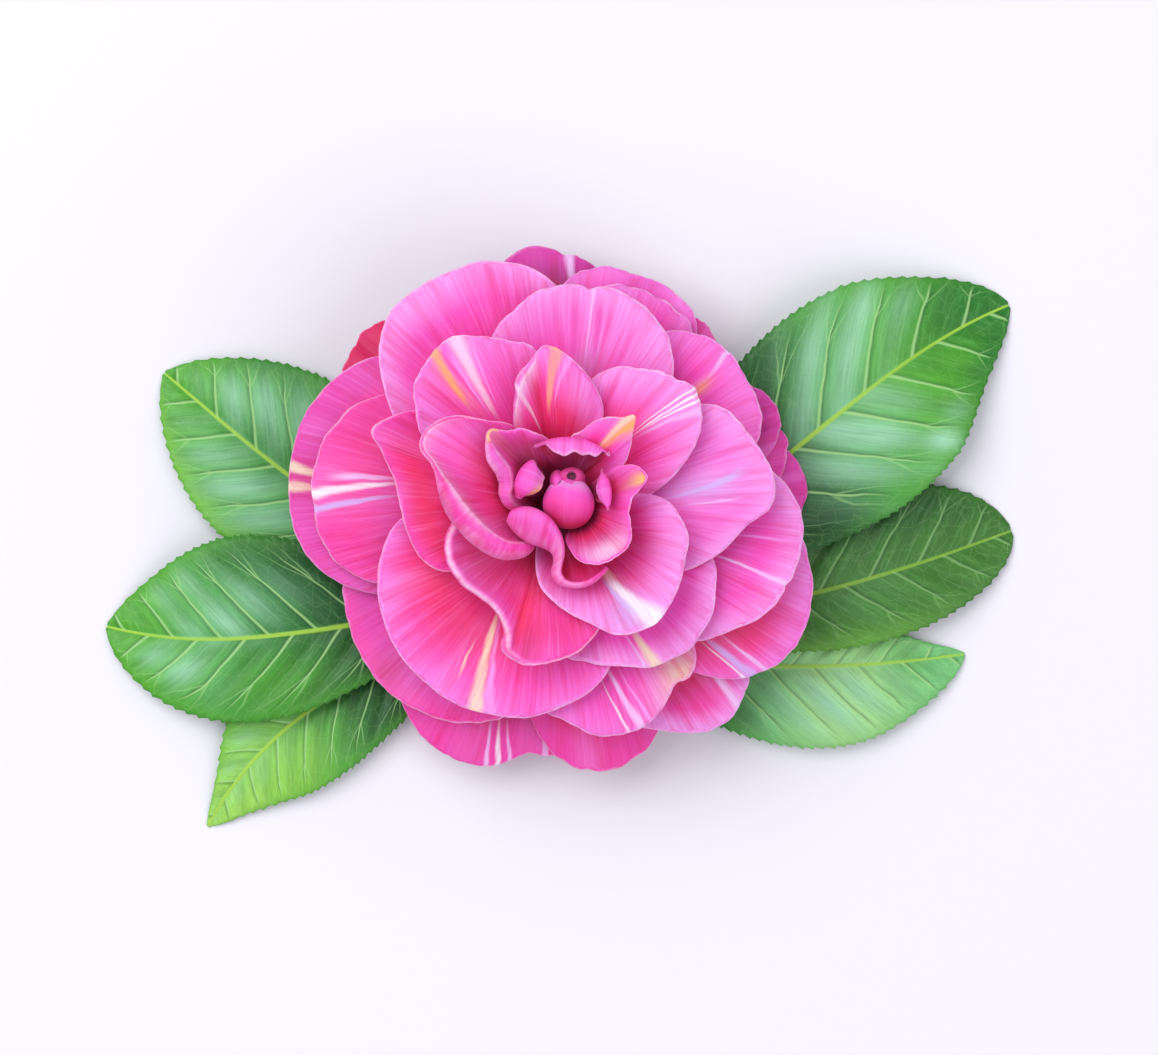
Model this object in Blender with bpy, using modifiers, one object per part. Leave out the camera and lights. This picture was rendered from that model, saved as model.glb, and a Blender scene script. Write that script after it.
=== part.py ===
"""Camellia bloom with six leaves on a short cut twig, lying face up as picked.

Every petal is a patch of one family of bowls that share a leaning axis. A petal's level picks its
bowl: 0 is the lowest and flattest, 1 the highest and steepest. Two petals that overlap in plan have
different levels, so one always lies clear of the other. Lengths are in millimetres until the mesh.
"""

import math

import bpy
import numpy as np

MM = 0.001                      # metres in a millimetre
TOUCH_GAP = 0.3                 # clearance between pieces that meet

# flower axis: where it stands at AXIS_FOOT_Z, and how far it leans for each millimetre of height
AXIS_FOOT = np.array([-1.7, 5.9])
AXIS_FOOT_Z = 15.0
AXIS_LEAN = np.array([0.137, 0.098])

# family of petal bowls, each dimension given at these levels
BOWL_LEVELS = (0.0, 0.25, 0.5, 0.75, 1.0)
FOOT_RADIUS = (7.0, 5.9, 4.8, 3.6, 2.4)         # distance from the axis where a petal starts
FOOT_HEIGHT = (15.0, 19.0, 23.0, 27.5, 32.0)    # height where a petal starts
RISE = (3.0, 12.0, 18.0, 21.0, 22.0)            # how far a bowl climbs
CURVE_LENGTH = (12.0, 18.0, 13.0, 9.5, 6.0)     # distance over which it climbs
DROOP = (7.5, 2.0, 0.5, 0.0, 0.0)               # fall at DROOP_REACH from its foot
DROOP_REACH = 41.5
CLAW_HALF_WIDTH = (2.2, 2.0, 1.8, 1.6, 1.4)     # half the width of a petal's foot
SEPAL_STEP = 15.0                               # drop of a scale for each unit of level below 0

PETAL_THICKNESS = 0.5
CENTRE_THICKNESS = 0.4
PETAL_SPREAD = 0.8              # below 1 a petal widens early above its foot
PETAL_COLUMNS = 9
PETAL_ROWS = 7

RECEPTACLE_LOW_LEVEL = -0.2     # the cone runs on below the lowest petals, to the sepals
RECEPTACLE_BASE_RADIUS = 3.2
RECEPTACLE_BASE_DEPTH = 1.4
RECEPTACLE_SIDES = 20
BUD_RADIUS = 4.6
BUD_HEIGHT = 12.0
BUD_FULLNESS = 1.6              # above 1 the bud is widest near its top
BUD_PART = (0.1, 0.97)          # part of the full egg shape that is kept
BUD_SIDES = 16

SEPAL_HALF_ANGLE = 42
SEPAL_REACH = 14.5
SEPAL_RIM = ((-1, 0.7), (-0.6, 0.9), (0, 1), (0.6, 0.9), (1, 0.7))   # shares of the two above

TWIG_RADIUS = 2.1
TWIG_TIP_RADIUS = 1.8
TWIG_ROUTE = ((-3.4, -35.0, 2.1), (-2.2, -24.0, 2.1), (-1.4, -14.0, 2.1), (-1.2, -5.5, 2.5),
              (-1.6, 1.0, 4.6), (-2.1, 4.6, 7.7), (-2.2, 5.4, 9.5))
TWIG_POINTS = 25

STALK_RADIUS = 0.9              # leaf stalk
STALK_PART = 0.09               # its share of the leaf's length
MIDRIB_PULL = 0.36              # how long the midrib keeps its heading at each end
LEAF_THICKNESS = 0.55
LEAF_EDGE_THICKNESS = 0.35
LEAF_FOLD = 0.08                # rise of the blade away from the midrib
LEAF_CURL = 0.003               # fall of the blade towards its margin
LEAF_RINGS = 17
LEAF_COLUMNS = 7

# name: level, then azimuth (degrees) and reach (mm) at five places along the rim
BACK_PETALS = {
    "back_left": (0.03, (120, 38), (130, 48), (139, 51), (147, 49), (158, 39)),
    "back_top": (0.03, (69, 40), (78, 48), (91, 51), (101, 49), (112, 40)),
    "back_top_right": (0.078, (47, 37), (56, 46), (67, 48), (78, 48), (90, 39)),
    "back_right_high": (0.0, (34, 36), (43, 45), (50, 47), (57, 45), (66, 36)),
    "back_right_upper": (0.09, (8, 36), (18, 46), (25, 48), (34, 45), (43, 35)),
    "back_right_middle": (0.045, (-4, 37), (8, 45), (15, 47), (23, 45), (33, 36)),
    "back_right_lower": (0.0, (-16, 39), (-2, 48), (7, 50), (15, 46), (26, 36)),
    "back_bottom_left": (0.01, (222, 39), (236, 49), (252, 51), (267, 47), (279, 37)),
    "back_bottom_right": (0.055, (262, 39), (273, 49), (283, 51), (293, 49), (305, 40)),
}
OUTER_PETALS = {
    "outer_left_low": (0.09, (193, 38), (206, 44), (224, 47), (244, 46), (262, 37)),
    "outer_left": (0.14, (135, 40), (149, 50), (170, 53), (188, 51), (205, 40)),
    "outer_bottom_right": (0.10, (284, 37), (295, 47), (306, 53), (318, 51), (330, 40)),
    "outer_right_low": (0.15, (-51, 41), (-38, 52), (-23, 54), (-10, 50), (2, 40)),
    "outer_top_right": (0.125, (46, 35), (54, 44), (64, 46), (74, 45), (87, 37)),
}
MIDDLE_PETALS = {
    "mid_left": (0.19, (143, 33), (159, 46), (180, 49), (196, 46), (210, 34)),
    "mid_top_left": (0.25, (88, 33), (103, 47), (124, 50), (141, 45), (157, 31)),
    "mid_top": (0.31, (43, 26), (60, 40), (82, 43), (101, 40), (118, 30)),
    "mid_right_high": (0.18, (8, 33), (22, 44), (39, 44), (55, 40), (68, 30)),
    "mid_right": (0.37, (-34, 24), (-13, 35), (5, 43), (24, 39), (38, 28)),
    "mid_right_low": (0.24, (-52, 31), (-29, 46), (-10, 47), (4, 44), (16, 34)),
    "mid_bottom": (0.195, (258, 33), (272, 43), (284, 47), (300, 44), (315, 34)),
    "mid_bottom_left": (0.27, (184, 26), (207, 40), (235, 44), (264, 41), (291, 29)),
    "mid_low_right": (0.32, (266, 25), (286, 34), (307, 38), (325, 37), (343, 28)),
}
INNER_PETALS = {
    "inner_left_point": (0.385, (148, 27), (162, 40), (177, 34), (196, 32), (214, 24)),
    "inner_top_left": (0.435, (100, 24), (114, 33), (130, 37), (147, 35), (161, 24)),
    "inner_right_high": (0.47, (-2, 15), (18, 26), (42, 32), (64, 28), (82, 19)),
    "curled_front": (0.44, (192, 17), (214, 27), (240, 28), (256, 33), (279, 25)),
    "inner_low_right": (0.53, (246, 13), (270, 23), (301, 30), (330, 27), (358, 17)),
    "fan_top": (0.56, (65, 13), (80, 22), (98, 29), (113, 25), (131, 15)),
    "rolled_left": (0.63, (128, 15), (149, 27), (166, 30), (194, 24), (228, 15)),
}
CENTRE_PETALS = {
    "pointed_right": (0.70, (18, 9), (35, 13), (51, 19), (70, 14), (92, 10)),
    "ruffled_left": (0.72, (108, 9), (127, 14), (146, 19), (160, 13), (188, 12)),
    "tongue_front": (0.74, (202, 9), (228, 12), (257, 15), (278, 18), (301, 13)),
    "wavy_right": (0.80, (-88, 9), (-58, 15), (-28, 14), (2, 14), (28, 11)),
    "petaloid_top": (0.86, (66, 7), (84, 9), (103, 10), (120, 9), (136, 7)),
    "petaloid_left": (0.88, (140, 7), (158, 9), (176, 11), (194, 9), (214, 7)),
    "petaloid_right": (0.88, (-18, 7), (2, 9), (20, 10), (36, 9), (54, 7)),
}

# name: level and azimuth of the scale's middle
SEPALS = {
    "sepal_front": (-0.05, 262),
    "sepal_right": (-0.10, 334),
    "sepal_back_right": (-0.05, 46),
    "sepal_back_left": (-0.10, 118),
    "sepal_left": (-0.15, 190),
}

# name: foot and tip in plan, heading at each (degrees), the blade's width on the left and right
# of that heading, how far along it is widest, how blunt it is, and five heights along the midrib
LEAVES = {
    "leaf_left_upper": ((-4.0, -8), (-77.3, 32.3), (176, 140), (17.5, 20.0), 0.60, 0.68,
                        (2.4, 3.2, 3.6, 3.2, 0.3)),
    "leaf_left_middle": ((-4.2, -13.5), (-88.5, -17.2), (178, 166), (16.5, 20.0), 0.64, 0.65,
                         (3.0, 5.4, 6.6, 5.4, 0.3)),
    "leaf_left_lower": ((-4.5, -19), (-68.8, -56.2), (182, 242), (14.0, 12.0), 0.60, 0.72,
                        (2.2, 2.8, 3.0, 2.4, 0.3)),
    "leaf_right_upper": ((1.3, -4), (87.6, 45.6), (6, 22), (21.0, 22.0), 0.60, 0.6,
                         (3.4, 6.2, 7.6, 6.6, 0.3)),
    "leaf_right_middle": ((1.1, -13), (88.1, 1.5), (-8, 20), (17.0, 12.5), 0.66, 0.48,
                          (2.8, 4.2, 5.2, 4.6, 0.3)),
    "leaf_right_lower": ((0.6, -22), (79.0, -22.6), (-6, 8), (9.0, 16.0), 0.64, 0.65,
                         (2.2, 2.6, 2.9, 2.5, 0.3)),
}


def at_level(values, level):
    """Value of a family dimension at a level."""
    return float(np.interp(level, BOWL_LEVELS, values))


def foot_height(level):
    """Height where a bowl starts; below level 0 the bowls only shift down."""
    return at_level(FOOT_HEIGHT, level) + min(level, 0) * SEPAL_STEP


def axis_point(height):
    """Plan position of the leaning flower axis at a height."""
    return AXIS_FOOT + np.multiply.outer(np.asarray(height) - AXIS_FOOT_Z, AXIS_LEAN)


def bowl_height(reach, level):
    """Height of a bowl at a distance from the flower axis."""
    run = np.maximum(reach - at_level(FOOT_RADIUS, level), 0)
    climb = at_level(RISE, level) * (1 - np.exp(-run / at_level(CURVE_LENGTH, level)))
    fall = at_level(DROOP, level) * (run / DROOP_REACH) ** 2
    return foot_height(level) + climb - fall


def smooth_curve(values, count):
    """Catmull-Rom curve through evenly spaced values, read at count places."""
    values = np.asarray(values, float)
    padded = np.vstack([2 * values[0] - values[1], values, 2 * values[-1] - values[-2]])
    place = np.linspace(0, len(values) - 1, count)
    start = np.minimum(place.astype(int), len(values) - 2)
    t = (place - start)[:, None]
    before, here, ahead, beyond = (padded[start + k] for k in range(4))
    return 0.5 * (2 * here + (ahead - before) * t
                  + (2 * before - 5 * here + 4 * ahead - beyond) * t ** 2
                  + (3 * here - before - 3 * ahead + beyond) * t ** 3)


def petal_grid(level, rim, columns=PETAL_COLUMNS, rows=PETAL_ROWS):
    """Points of a petal's middle surface, rows from its foot to its rim."""
    v = np.linspace(0, 1, rows)[:, None]
    u = np.linspace(-1, 1, columns)[None, :]
    outline = smooth_curve(rim, columns)
    rim_angle = np.radians(outline[:, 0])[None, :]
    rim_reach = outline[:, 1][None, :]
    foot_reach = at_level(FOOT_RADIUS, level) + TOUCH_GAP
    foot_angle = rim_angle.mean() + u * at_level(CLAW_HALF_WIDTH, level) / foot_reach
    spread = np.sin(v * math.pi / 2) ** PETAL_SPREAD
    angle = foot_angle + (rim_angle - foot_angle) * spread
    reach = foot_reach + (rim_reach - foot_reach) * v
    height = bowl_height(reach, level)
    plan = axis_point(height)
    x = plan[..., 0] + reach * np.cos(angle)
    y = plan[..., 1] + reach * np.sin(angle)
    return np.stack([x, y, height], axis=-1)


def make_material(name, color, roughness):
    """Principled material of one sub-part; nothing on the plant is metal."""
    material = bpy.data.materials.new(name)
    material.use_nodes = True
    shader = material.node_tree.nodes["Principled BSDF"]
    shader.inputs["Base Color"].default_value = (*color, 1)
    shader.inputs["Roughness"].default_value = roughness
    shader.inputs["Metallic"].default_value = 0
    return material


def add_object(name, vertices, faces, collection):
    """Object with a smooth-shaded mesh from points in millimetres."""
    mesh = bpy.data.meshes.new(name)
    mesh.from_pydata((np.asarray(vertices) * MM).tolist(), [], faces)
    mesh.shade_smooth()
    obj = bpy.data.objects.new(name, mesh)
    collection.objects.link(obj)
    return obj


def add_shell(name, grid, thickness, collection):
    """Open surface from a grid of points, made solid on both sides of it."""
    rows, columns = grid.shape[:2]
    faces = [(r * columns + c, r * columns + c + 1, (r + 1) * columns + c + 1, (r + 1) * columns + c)
             for r in range(rows - 1) for c in range(columns - 1)]
    obj = add_object(name, grid.reshape(-1, 3), faces, collection)
    solid = obj.modifiers.new("Thickness", "SOLIDIFY")
    solid.thickness = thickness * MM
    solid.offset = 0
    return obj


def add_loft(name, rings, collection):
    """Closed body through rings of points, with a cap at each end."""
    count, around = len(rings), len(rings[0])
    faces = [(r * around + k, r * around + (k + 1) % around,
              (r + 1) * around + (k + 1) % around, (r + 1) * around + k)
             for r in range(count - 1) for k in range(around)]
    faces.append(tuple(range(around - 1, -1, -1)))
    faces.append(tuple((count - 1) * around + k for k in range(around)))
    return add_object(name, np.concatenate(rings), faces, collection)


def axis_ring(height, radius, around):
    """Ring of points about the flower axis."""
    turn = np.linspace(0, 2 * math.pi, around, endpoint=False)
    plan = axis_point(height) + radius * np.stack([np.cos(turn), np.sin(turn)], axis=-1)
    return np.column_stack([plan, np.full(around, height)])


def heading_vector(degrees):
    """Unit plan vector of a heading."""
    turn = math.radians(degrees)
    return np.array([math.cos(turn), math.sin(turn)])


def midrib_path(foot, tip, headings, count):
    """Cubic plan curve of a leaf's midrib, and the unit vectors to its left."""
    foot = np.array(foot, float)
    tip = np.array(tip, float)
    pull = MIDRIB_PULL * np.linalg.norm(tip - foot)
    knots = (foot, foot + pull * heading_vector(headings[0]),
             tip - pull * heading_vector(headings[1]), tip)
    s = np.linspace(0, 1, count)[:, None]
    path = ((1 - s) ** 3 * knots[0] + 3 * (1 - s) ** 2 * s * knots[1]
            + 3 * (1 - s) * s ** 2 * knots[2] + s ** 3 * knots[3])
    along = np.gradient(path, axis=0)
    along /= np.linalg.norm(along, axis=1, keepdims=True)
    return path, np.stack([-along[:, 1], along[:, 0]], axis=-1)


def blade_width(s, side, fullest, blunt):
    """Half width of a leaf along its length: a stalk, then a blade that closes at the tip."""
    blade = np.clip((s - STALK_PART) / (1 - STALK_PART), 0, 1)
    peak = math.log(0.5) / math.log(fullest)
    width = side * np.sin(math.pi * np.clip(blade, 0, 0.995) ** peak) ** blunt
    return np.maximum(width, np.where(s < 0.5, STALK_RADIUS, 0.25))


def leaf_rings(foot, tip, headings, sides, fullest, blunt, heights):
    """Cross-sections of a leaf from the foot of its stalk to its tip."""
    path, left = midrib_path(foot, tip, headings, LEAF_RINGS)
    height = smooth_curve(np.array(heights)[:, None], LEAF_RINGS)[:, 0]
    across = np.linspace(1, -1, LEAF_COLUMNS)
    rings = []
    for k, s in enumerate(np.linspace(0, 1, LEAF_RINGS)):
        widths = [blade_width(s, side, fullest, blunt) for side in sides]
        offset = np.where(across > 0, across * widths[0], across * widths[1])
        plan = path[k] + offset[:, None] * left[k]
        flat = min(max((s - STALK_PART) / STALK_PART, 0), 1)
        surface = height[k] + flat * (LEAF_FOLD * np.abs(offset) - LEAF_CURL * offset ** 2)
        blade = LEAF_EDGE_THICKNESS + (LEAF_THICKNESS - LEAF_EDGE_THICKNESS) * (1 - np.abs(across))
        stalk = 2 * STALK_RADIUS * np.sqrt(np.clip(1 - 0.9 * across ** 2, 0, 1))
        half = (flat * blade + (1 - flat) * stalk) / 2
        upper = np.column_stack([plan, surface + half])
        lower = np.column_stack([plan, surface - half])[::-1]
        rings.append(np.concatenate([upper, lower]))
    return rings


def build_petals(petals, thickness, material, collection):
    """One shell for each petal of a ring."""
    for name, (level, *rim) in petals.items():
        obj = add_shell(name, petal_grid(level, rim), thickness, collection)
        obj.data.materials.append(material)


def build_sepals(material, collection):
    """Green scales under the lowest petals."""
    for name, (level, azimuth) in SEPALS.items():
        rim = [(azimuth + SEPAL_HALF_ANGLE * side, SEPAL_REACH * out) for side, out in SEPAL_RIM]
        obj = add_shell(name, petal_grid(level, rim, 7, 4), PETAL_THICKNESS, collection)
        obj.data.materials.append(material)


def build_receptacle(material, collection):
    """Cone that carries the petals, following the family's foot radius and height."""
    levels = np.linspace(RECEPTACLE_LOW_LEVEL, 1.0, 10)
    base = foot_height(RECEPTACLE_LOW_LEVEL) - RECEPTACLE_BASE_DEPTH
    rings = [axis_ring(base, RECEPTACLE_BASE_RADIUS, RECEPTACLE_SIDES)]
    for level in levels:
        radius = at_level(FOOT_RADIUS, level)
        rings.append(axis_ring(foot_height(level), radius, RECEPTACLE_SIDES))
    obj = add_loft("receptacle", rings, collection)
    obj.data.materials.append(material)


def build_bud(material, collection):
    """Closed bud on the tip of the receptacle, widest near its top."""
    foot = foot_height(1.0) + TOUCH_GAP
    rings = []
    for s in np.linspace(*BUD_PART, 10):
        radius = BUD_RADIUS * math.sin(math.pi * s ** BUD_FULLNESS)
        rings.append(axis_ring(foot + BUD_HEIGHT * (s - BUD_PART[0]), radius, BUD_SIDES))
    obj = add_loft("bud_heart", rings, collection)
    obj.data.materials.append(material)


def build_twig(material, collection):
    """Cut twig that lies along the surface and turns up to the flower."""
    route = smooth_curve(TWIG_ROUTE, TWIG_POINTS)
    curve = bpy.data.curves.new("twig", "CURVE")
    curve.dimensions = "3D"
    curve.bevel_depth = TWIG_RADIUS * MM
    curve.bevel_resolution = 2
    curve.use_fill_caps = True
    spline = curve.splines.new("POLY")
    spline.points.add(TWIG_POINTS - 1)
    thinning = np.linspace(1, TWIG_TIP_RADIUS / TWIG_RADIUS, TWIG_POINTS)
    for point, place, share in zip(spline.points, route, thinning):
        point.co = (*(place * MM), 1)
        point.radius = share
    obj = bpy.data.objects.new("twig", curve)
    curve.materials.append(material)
    collection.objects.link(obj)


def build_leaves(material, collection):
    """Six leaves, three on each side of the twig."""
    for name, values in LEAVES.items():
        obj = add_loft(name, leaf_rings(*values), collection)
        obj.data.materials.append(material)


def main():
    for obj in list(bpy.data.objects):
        bpy.data.objects.remove(obj, do_unlink=True)
    collection = bpy.data.collections.new("camellia_flower")
    bpy.context.scene.collection.children.link(collection)
    pink = make_material("petal_pink", (0.80, 0.10, 0.38), 0.5)
    dark = make_material("petal_dark", (0.38, 0.02, 0.15), 0.5)
    leaf = make_material("leaf_green", (0.05, 0.28, 0.05), 0.35)
    scale = make_material("calyx_green", (0.16, 0.25, 0.05), 0.55)
    bark = make_material("twig_bark", (0.16, 0.10, 0.05), 0.8)
    build_petals(BACK_PETALS, PETAL_THICKNESS, dark, collection)
    build_petals(OUTER_PETALS, PETAL_THICKNESS, pink, collection)
    build_petals(MIDDLE_PETALS, PETAL_THICKNESS, pink, collection)
    build_petals(INNER_PETALS, PETAL_THICKNESS, pink, collection)
    build_petals(CENTRE_PETALS, CENTRE_THICKNESS, pink, collection)
    build_bud(pink, collection)
    build_sepals(scale, collection)
    build_receptacle(scale, collection)
    build_twig(bark, collection)
    build_leaves(leaf, collection)


main()
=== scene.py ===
import bpy
import numpy as np
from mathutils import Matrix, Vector


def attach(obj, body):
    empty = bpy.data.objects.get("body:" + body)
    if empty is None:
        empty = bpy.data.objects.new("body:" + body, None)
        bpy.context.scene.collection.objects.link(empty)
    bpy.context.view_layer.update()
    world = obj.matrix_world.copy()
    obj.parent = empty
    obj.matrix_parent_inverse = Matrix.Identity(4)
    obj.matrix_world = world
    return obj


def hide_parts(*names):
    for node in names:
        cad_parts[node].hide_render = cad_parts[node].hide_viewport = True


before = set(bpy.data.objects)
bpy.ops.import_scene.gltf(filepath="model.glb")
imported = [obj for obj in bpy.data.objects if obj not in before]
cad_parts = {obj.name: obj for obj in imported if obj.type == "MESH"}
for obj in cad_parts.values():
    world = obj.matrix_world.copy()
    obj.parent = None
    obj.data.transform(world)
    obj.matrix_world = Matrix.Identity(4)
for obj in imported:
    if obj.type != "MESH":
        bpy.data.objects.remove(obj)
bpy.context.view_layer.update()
mm = 0.001
print("frame loaded,", len(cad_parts), "nodes")

# in mm on the petals' maps: from one petal's place to the next, and from a petal's top to its underside
mapStep, undersideShift = 37.0, 11.0


# colours, written as sRGB hex and turned to linear in one place
def linear(hexColour):
    part = np.array([int(hexColour[k:k + 2], 16) for k in (0, 2, 4)]) / 255
    return np.where(part <= 0.04045, part / 12.92, ((part + 0.055) / 1.055) ** 2.4)


palette = {name: linear(value) for name, value in {
    "deepWine": "7C1C46", "wine": "A8285C", "ruby": "C02656", "crimson": "DE3068", "red": "F63866",
    "rose": "EE3E8C", "raspberry": "E04294", "magenta": "E84EB4", "hotPink": "F64EB0", "vivid": "FC5CCA",
    "orchid": "F67CDA", "lilac": "F8A0EC", "paleLilac": "F0C6F6", "rimWhite": "FBDCF0", "blueLilac": "CFB4F0",
    "plum": "B63894", "mauve": "D848AC", "berry": "D24490",
    "cream": "F8DCC0", "peach": "FAA588", "orange": "FBB060", "yellow": "F8DA70", "white": "F8F0FB",
    "leafDark": "1B4A22", "leafShade": "27602A", "leafDeep": "2E7A2C", "leafMid": "4A9C3E",
    "leafVivid": "56A82E", "leafBright": "78C040", "leafLime": "9CD658", "leafSheen": "A6E4BC",
    "leafPale": "7AC67C", "leafMist": "A2D888", "leafOlive": "447A30", "ribPale": "A6DC8C",
    "ribLime": "A0D048",
    "stalk": "8CA64A", "sepal": "8A9C48", "sepalTip": "9C7A50",
    "bark": "6E5A40", "barkGreen": "6C7A44", "wood": "D8C79A", "pith": "B79B6A",
}.items()}


def washAlong(names, stops, place):      # colours by name at stops, blended along place
    colours = np.array([palette[name] for name in names])
    return np.stack([np.interp(place, stops, colours[:, k]) for k in range(3)], axis=-1)


def stained(wash, name, part):           # the wash turned towards one colour by part
    return wash + (palette[name] - wash) * part[..., None]


def dabbed(wash, first, second, patches):
    # soft oval patches: centre on both maps, size on both maps, colour and part
    for firstAt, secondAt, firstSize, secondSize, name, part in patches:
        wash = stained(wash, name,
                       part * hill(first, firstAt, firstSize) * hill(second, secondAt, secondSize))
    return wash


def smoothStep(low, high, value):        # 0 below low, 1 above high, eased between
    t = np.clip((value - low) / (high - low), 0, 1)
    return t * t * (3 - 2 * t)


def hill(value, centre, halfWidth):      # bell curve, 1 at its centre
    return np.exp(-((value - centre) / halfWidth) ** 2)


def unit(vectors):                       # vectors scaled to length 1
    return vectors / np.maximum(np.linalg.norm(vectors, axis=-1, keepdims=True), 1e-12)


def smoothCurve(points, place):
    # Catmull-Rom curve through evenly spaced points, read at places from 0 to 1
    points = np.asarray(points, float)
    padded = np.vstack([2 * points[0] - points[1], points, 2 * points[-1] - points[-2]])
    place = np.clip(place, 0, 1) * (len(points) - 1)
    start = np.minimum(place.astype(int), len(points) - 2)
    t = (place - start)[:, None]
    before, here, ahead, beyond = (padded[start + k] for k in range(4))
    return 0.5 * (2 * here + (ahead - before) * t
                  + (2 * before - 5 * here + 4 * ahead - beyond) * t ** 2
                  + (3 * here - before - 3 * ahead + beyond) * t ** 3)


def bezier(t, knots):
    # cubic Bezier arc through four knots, t from 0 to 1
    start, leave, arrive, end = knots
    return (1 - t) ** 3 * start + 3 * (1 - t) ** 2 * t * leave + 3 * (1 - t) * t ** 2 * arrive + t ** 3 * end


def ripple(seed, x, y, waves):
    # gentle unevenness: a sum of eight sine waves with seeded directions, about -1 to 1
    draw = np.random.default_rng(seed)
    total = 0
    for strength, turn, phase, pace in zip(*draw.random((4, 8))):
        spin = 2 * np.pi * turn
        total = total + (0.4 + strength) * np.sin(
            waves * (0.5 + pace) * (x * np.cos(spin) + y * np.sin(spin)) + 2 * np.pi * phase)
    return total / 4


def sheetNormals(sheet):
    # unit normals of a grid of points: its two edge directions crossed, upper side positive
    return unit(np.cross(np.gradient(sheet, axis=0), np.gradient(sheet, axis=1)))


def meshPiece(name, points, faces, replaced, material, maps=None, tints=None, floats=None):
    # one mesh object from whole arrays, in metres, with its UV maps and point attributes
    mesh = bpy.data.meshes.new(name)
    mesh.from_pydata([], [], [])
    mesh.vertices.add(len(points))
    mesh.vertices.foreach_set("co", (np.asarray(points) * mm).astype(np.float32).ravel())
    corners = np.concatenate([f.ravel() for f in faces])
    sizes = np.concatenate([np.full(len(f), f.shape[1]) for f in faces])
    mesh.loops.add(len(corners))
    mesh.loops.foreach_set("vertex_index", corners.astype(np.int32))
    mesh.polygons.add(len(sizes))
    mesh.polygons.foreach_set("loop_start", (np.cumsum(sizes) - sizes).astype(np.int32))
    mesh.polygons.foreach_set("use_smooth", np.ones(len(sizes), bool))
    mesh.update(calc_edges=True)
    for label, uv in (maps or {}).items():
        layer = mesh.uv_layers.new(name=label)
        layer.data.foreach_set("uv", uv[corners].astype(np.float32).ravel())
    for label, colour in (tints or {}).items():
        layer = mesh.attributes.new(label, "FLOAT_COLOR", "POINT")
        solid = np.concatenate([colour, np.ones((len(colour), 1))], axis=1)
        layer.data.foreach_set("color", solid.astype(np.float32).ravel())
    for label, value in (floats or {}).items():
        layer = mesh.attributes.new(label, "FLOAT", "POINT")
        layer.data.foreach_set("value", value.astype(np.float32).ravel())
    mesh.materials.append(material)
    mesh.validate()
    piece = bpy.data.objects.new(name, mesh)
    bpy.context.scene.collection.objects.link(piece)
    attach(piece, "root")
    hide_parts(*replaced)
    return piece


def gridFaces(rows, columns, start=0, flip=False):
    # quads of a grid of points numbered row by row
    index = start + np.arange(rows * columns).reshape(rows, columns)
    quads = np.stack([index[:-1, :-1], index[1:, :-1], index[1:, 1:], index[:-1, 1:]], axis=-1)
    quads = quads.reshape(-1, 4)
    return quads[:, ::-1] if flip else quads


def shellParts(sheet, thickness):
    # a closed thin shell: the sheet moved half its thickness to each side, joined round its edge
    rows, columns = sheet.shape[:2]
    push = sheetNormals(sheet) * thickness[..., None] / 2
    count = rows * columns
    index = np.arange(count).reshape(rows, columns)
    edge = np.concatenate([index[0, :-1], index[:-1, -1], index[-1, :0:-1], index[:0:-1, 0]])
    after = np.roll(edge, -1)
    wall = np.stack([edge, after, after + count, edge + count], axis=-1)
    points = np.concatenate([(sheet + push).reshape(-1, 3), (sheet - push).reshape(-1, 3)])
    return points, [gridFaces(rows, columns), gridFaces(rows, columns, count, True), wall]


# one small function adds a shader node with its settings and links
def node(tree, kind, inputs=None, **settings):
    made = tree.nodes.new("ShaderNode" + kind)
    for key, value in settings.items():
        setattr(made, key, value)
    for key, value in (inputs or {}).items():
        if isinstance(value, bpy.types.NodeSocket):
            tree.links.new(value, made.inputs[key])
        else:
            made.inputs[key].default_value = value
    return made


def newMaterial(name):
    material = bpy.data.materials.new(name)
    material.use_nodes = True
    material.node_tree.nodes.clear()
    return material, material.node_tree


def rgba(name):
    return (*palette[name], 1)


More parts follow.
